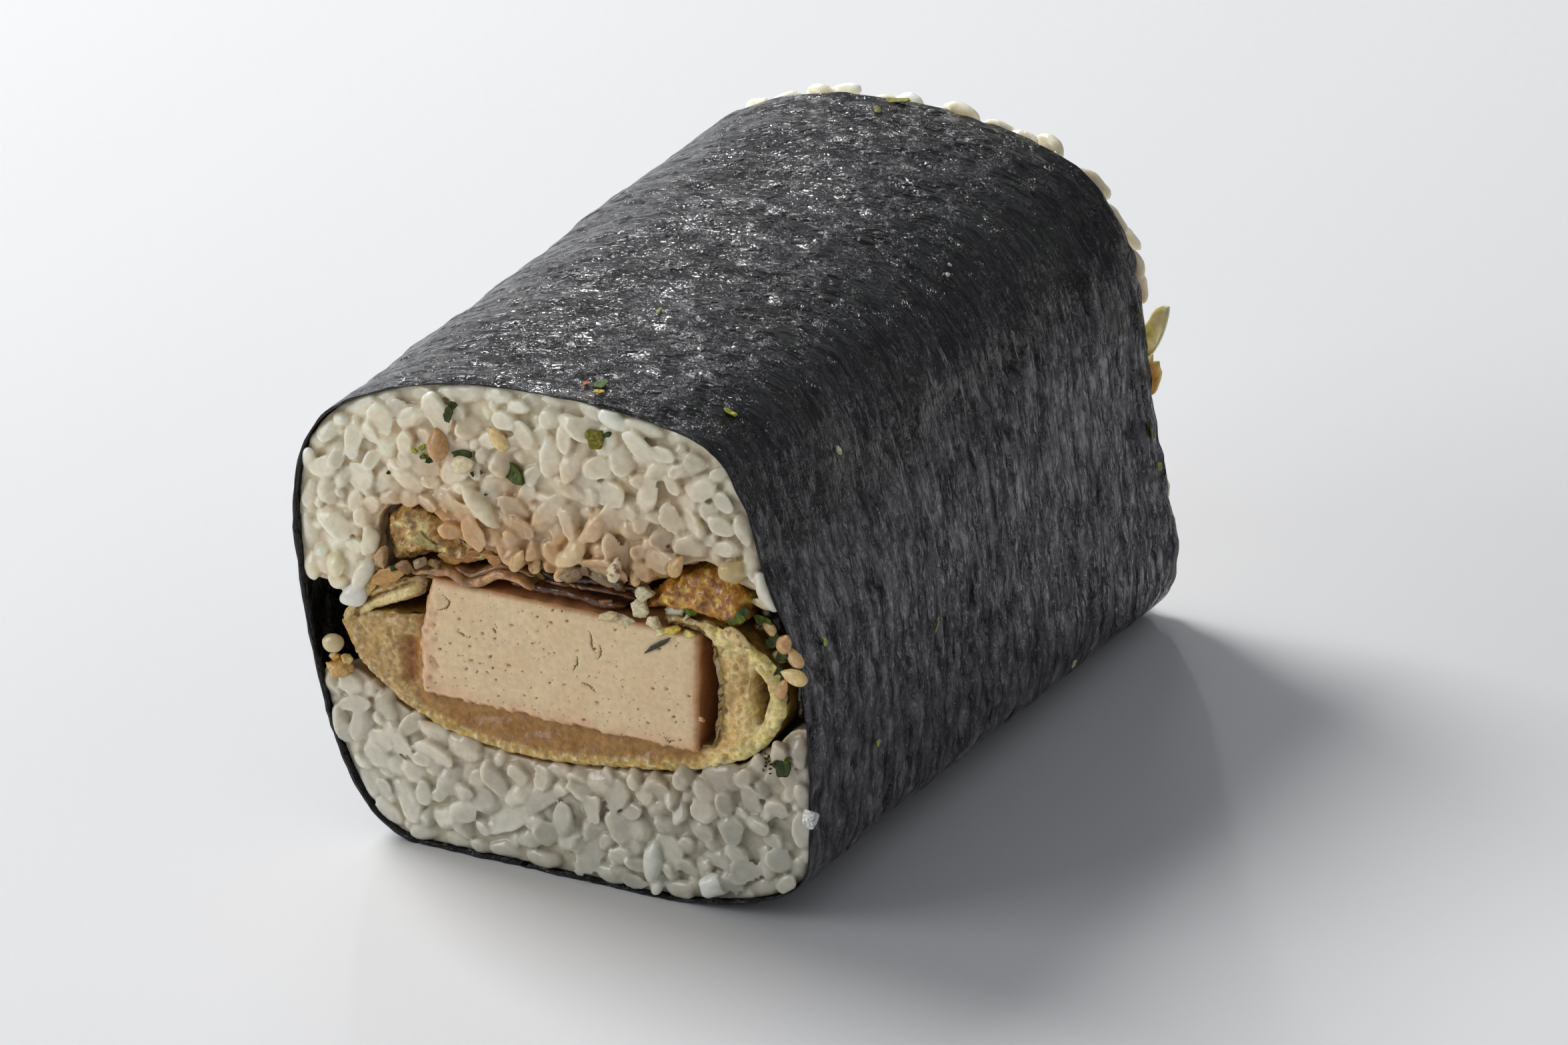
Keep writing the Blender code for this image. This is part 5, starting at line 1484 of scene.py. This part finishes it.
def make_toppings(pieces, nori):
    """The seeds, leaf flakes and crumbs that lie on the cut face and the nori."""
    ground, sheet = Ground(pieces + [nori]), Ground([nori])
    seedy, leafy, crisp = soft_look("seed"), soft_look("leaf"), soft_look("crumb")
    rng = random.Random(170)

    def front(x, z, out):
        """The place to lay a thing at, out in front of what is under it, but not far out of the face."""
        return np.array([x, min(max(ground.facing(x, z) - out, -HALF - 0.9), -HALF + 4), z])

    def tipped(side, down, up):
        """The way a thing's flat side faces: to the front, tipped at random."""
        return FRONT + np.array([rng.uniform(-side, side), 0, rng.uniform(-down, up)])

    def lay_seeds(name, stands_for, slot, first, seeds):
        heap = Heap()
        for k, (x, z, length, width, turn, colour, dots) in enumerate(seeds, first):
            shape, faces, tone = seed(length, width, k, dots, colour)
            facing = tipped(0.25, 0.1, 0.35)
            heap.add(laid(shape, front(x, z, 0.35), turned(turn), facing), faces, tone)
        heap.done(name, seedy, [stands_for], slot)

    def lay_flakes(name, stands_for, slot, first, flakes):
        heap = Heap()
        for k, (x, z, length, width, turn, colour, thick) in enumerate(flakes, first):
            shape, faces, tone = flake(length, width, k, colour, thick, 0.35 if thick < 0.3 else 0.12)
            facing = tipped(0.2, 0.1, 0.3)
            heap.add(laid(shape, front(x, z, 0.16 + thick / 2), turned(turn), facing), faces, tone)
        heap.done(name, leafy, [stands_for], slot)

    lay_seeds("seeds_rice", "rice_upper", "rice", 10, SEEDS_ON_RICE)
    lay_seeds("seeds_relish", "seaweed_relish", "relish", 30, SEEDS_IN_RELISH)
    lay_flakes("flakes_rice", "rice_upper", "rice", 10, FLAKES_ON_RICE)
    lay_flakes("flakes_relish", "seaweed_relish", "relish", 30, FLAKES_IN_RELISH)
    specks = [
        (rng.uniform(24.6, 27.0), rng.uniform(17.9, 20.4), 0.34, 0.24, rng.uniform(0, 180), DARK_GREEN, 0.1)
        for _ in range(13)
    ]
    lay_flakes("flakes_rice_lower", "rice_lower", "rice_plain", 20, FLAKES_ON_LOWER_RICE + specks)

    heap = Heap()
    for k, (x, z, length, width, height, turn, colour) in enumerate(CRUMBS):
        shape, faces, tone = crumb(length, width, height, k, colour, 0.4 if length < 2 else 0.5)
        out = height * (0.2 if width < 1.1 else -0.08)
        heap.add(laid(shape, front(x, z, out), turned(turn), FRONT), faces, tone)
    sliver, faces, tone = crumb(4.0, 0.5, 0.4, 77, rgb(48, 50, 14), 0.35)
    heap.add(laid(sliver, front(12.1, 30.2, 0.15), turned(35), FRONT), faces, tone)
    heap.done("crumbs", crisp, ["fritter_right"], "fritter_dark")

    heap = Heap()
    for k, (where, length, width, colour, thick) in enumerate(ON_NORI, 60):
        place, up = sheet.nearest(where)
        shape, faces, tone = flake(length, width, k, colour, thick, 0.4, 0.1)
        along = (rng.uniform(-1, 1), rng.uniform(-1, 1), rng.uniform(-1, 1))
        heap.add(laid(shape, place + up * 0.3, along, up), faces, tone)
    rim, _ = sheet.nearest((32.6, -44.2, 14.0))
    shape, faces, tone = crumb(2.3, 1.9, 1.8, 94, (0.98, 0.98, 0.95), 0.1)
    heap.add(laid(shape, np.array([rim[0] + 0.2, -45.3, 14.0]), (0.3, 0, 1), FRONT), faces, tone)
    heap.done("flecks_nori", leafy, ["nori_wrap"], "nori")


# ---- the stage, in metres ----------------------------------------------------------------------------
FLOOR_HALF, FLOOR_COLOUR = 3.0, (0.73, 0.735, 0.745, 1)
SOFT_LIGHTS = [  # name, the way to it, distance, width, height, power
    ("key", (-0.87, 0.27, 0.87), 1.3, 0.55, 0.55, 17),
    ("front", (-0.75, -0.64, 0.34), 1.4, 0.8, 0.6, 6.2),
    ("rear", (-0.40, 0.73, 0.55), 1.3, 0.32, 0.32, 1.0),
]
SOFT_LIGHT_AIM = (0, 0, 0.03)
SHEEN_FROM, SHEEN_AIM = (-0.51, 0.80, 0.32), (-0.016, 0.049, 0.057)
SHEEN_POWER, SHEEN_RADIUS, SHEEN_ANGLE = 60.0, 0.08, math.radians(3.0)
SKY_COLOUR, SKY_STRENGTH = (0.93, 0.95, 1.0, 1), 0.25
CAMERA_PLACE, CAMERA_AIM, LENS = (0.4254, -0.8434, 0.4543), (0.006, -0.004, 0.0262), 213


def look_along(obj, way):
    obj.rotation_euler = Vector(way).to_track_quat("-Z", "Y").to_euler()


def make_floor():
    mesh = bpy.data.meshes.new("floor")
    corners = ((-1, -1), (1, -1), (1, 1), (-1, 1))
    mesh.from_pydata([(x * FLOOR_HALF, y * FLOOR_HALF, 0) for x, y in corners], [], [(0, 1, 2, 3)])
    look, tree, shader = new_look("floor", Base_Color=FLOOR_COLOUR, Roughness=0.7, Specular_IOR_Level=0.25)
    dress(tree, shader, Normal=bump(tree, spots(tree, 1.6, 3.0), 0.12, 0.3))
    mesh.materials.append(look)
    floor = into_scene("floor", mesh)


def make_light(name, kind, towards, distance, aim, power):
    """A light that shines on the aim from the direction given."""
    light = bpy.data.lights.new(name, kind)
    light.energy = power
    obj = into_scene(name, light)
    place = Vector(towards).normalized() * distance
    obj.location = place + Vector(aim)
    look_along(obj, -place)
    return light


def make_camera():
    camera = bpy.data.cameras.new("camera")
    camera.lens, camera.sensor_width = LENS, 36
    camera.clip_start, camera.clip_end = 0.05, 20
    obj = into_scene("camera", camera)
    obj.location = CAMERA_PLACE
    look_along(obj, Vector(CAMERA_AIM) - obj.location)
    bpy.context.scene.camera = obj


def make_stage():
    make_floor()
    for name, towards, distance, width, height, power in SOFT_LIGHTS:
        light = make_light(name, "AREA", towards, distance, SOFT_LIGHT_AIM, power)
        light.shape, light.size, light.size_y = "RECTANGLE", width, height
    sheen = make_light("sheen", "SPOT", SHEEN_FROM, 1.0, SHEEN_AIM, SHEEN_POWER)  # grazes the far left
    sheen.shadow_soft_size, sheen.spot_size, sheen.spot_blend = SHEEN_RADIUS, SHEEN_ANGLE, 1.0
    world = bpy.data.worlds.new("studio")
    world.use_nodes = True
    sky = world.node_tree.nodes["Background"]
    sky.inputs["Color"].default_value = SKY_COLOUR
    sky.inputs["Strength"].default_value = SKY_STRENGTH
    bpy.context.scene.world = world
    bpy.context.scene.view_settings.view_transform = "Standard"
    make_camera()


def main():
    make_stage()
    nori = make_nori(nori_look())
    rice, crisp = rice_look("rice"), soft_look("fritter")
    # the fritters' dark, mid and light tones; the light ones are partly painted highlight
    golden = (rgb(150, 106, 46), rgb(226, 178, 96), rgb(255, 234, 160))
    browner = (rgb(150, 88, 14), rgb(214, 144, 30), rgb(255, 214, 96))
    faces = [
        make_bed("rice_upper", UPPER_BED_FACE, True, rice, "rice"),
        make_bed("rice_lower", LOWER_BED_FACE, False, rice, "rice_plain"),
        make_slab(soft_look("slab")),
        make_skin(soft_look("skin")),
        make_strips(soft_look("strips")),
        make_fritter("fritter_left", LEFT_FRITTER, crisp, "fritter", 0.5, golden, 141),
        make_fritter("fritter_right", RIGHT_FRITTER, crisp, "fritter_dark", 0.4, browner, 151),
        make_relish(soft_look("relish")),
    ]
    make_toppings(faces, nori)


main()
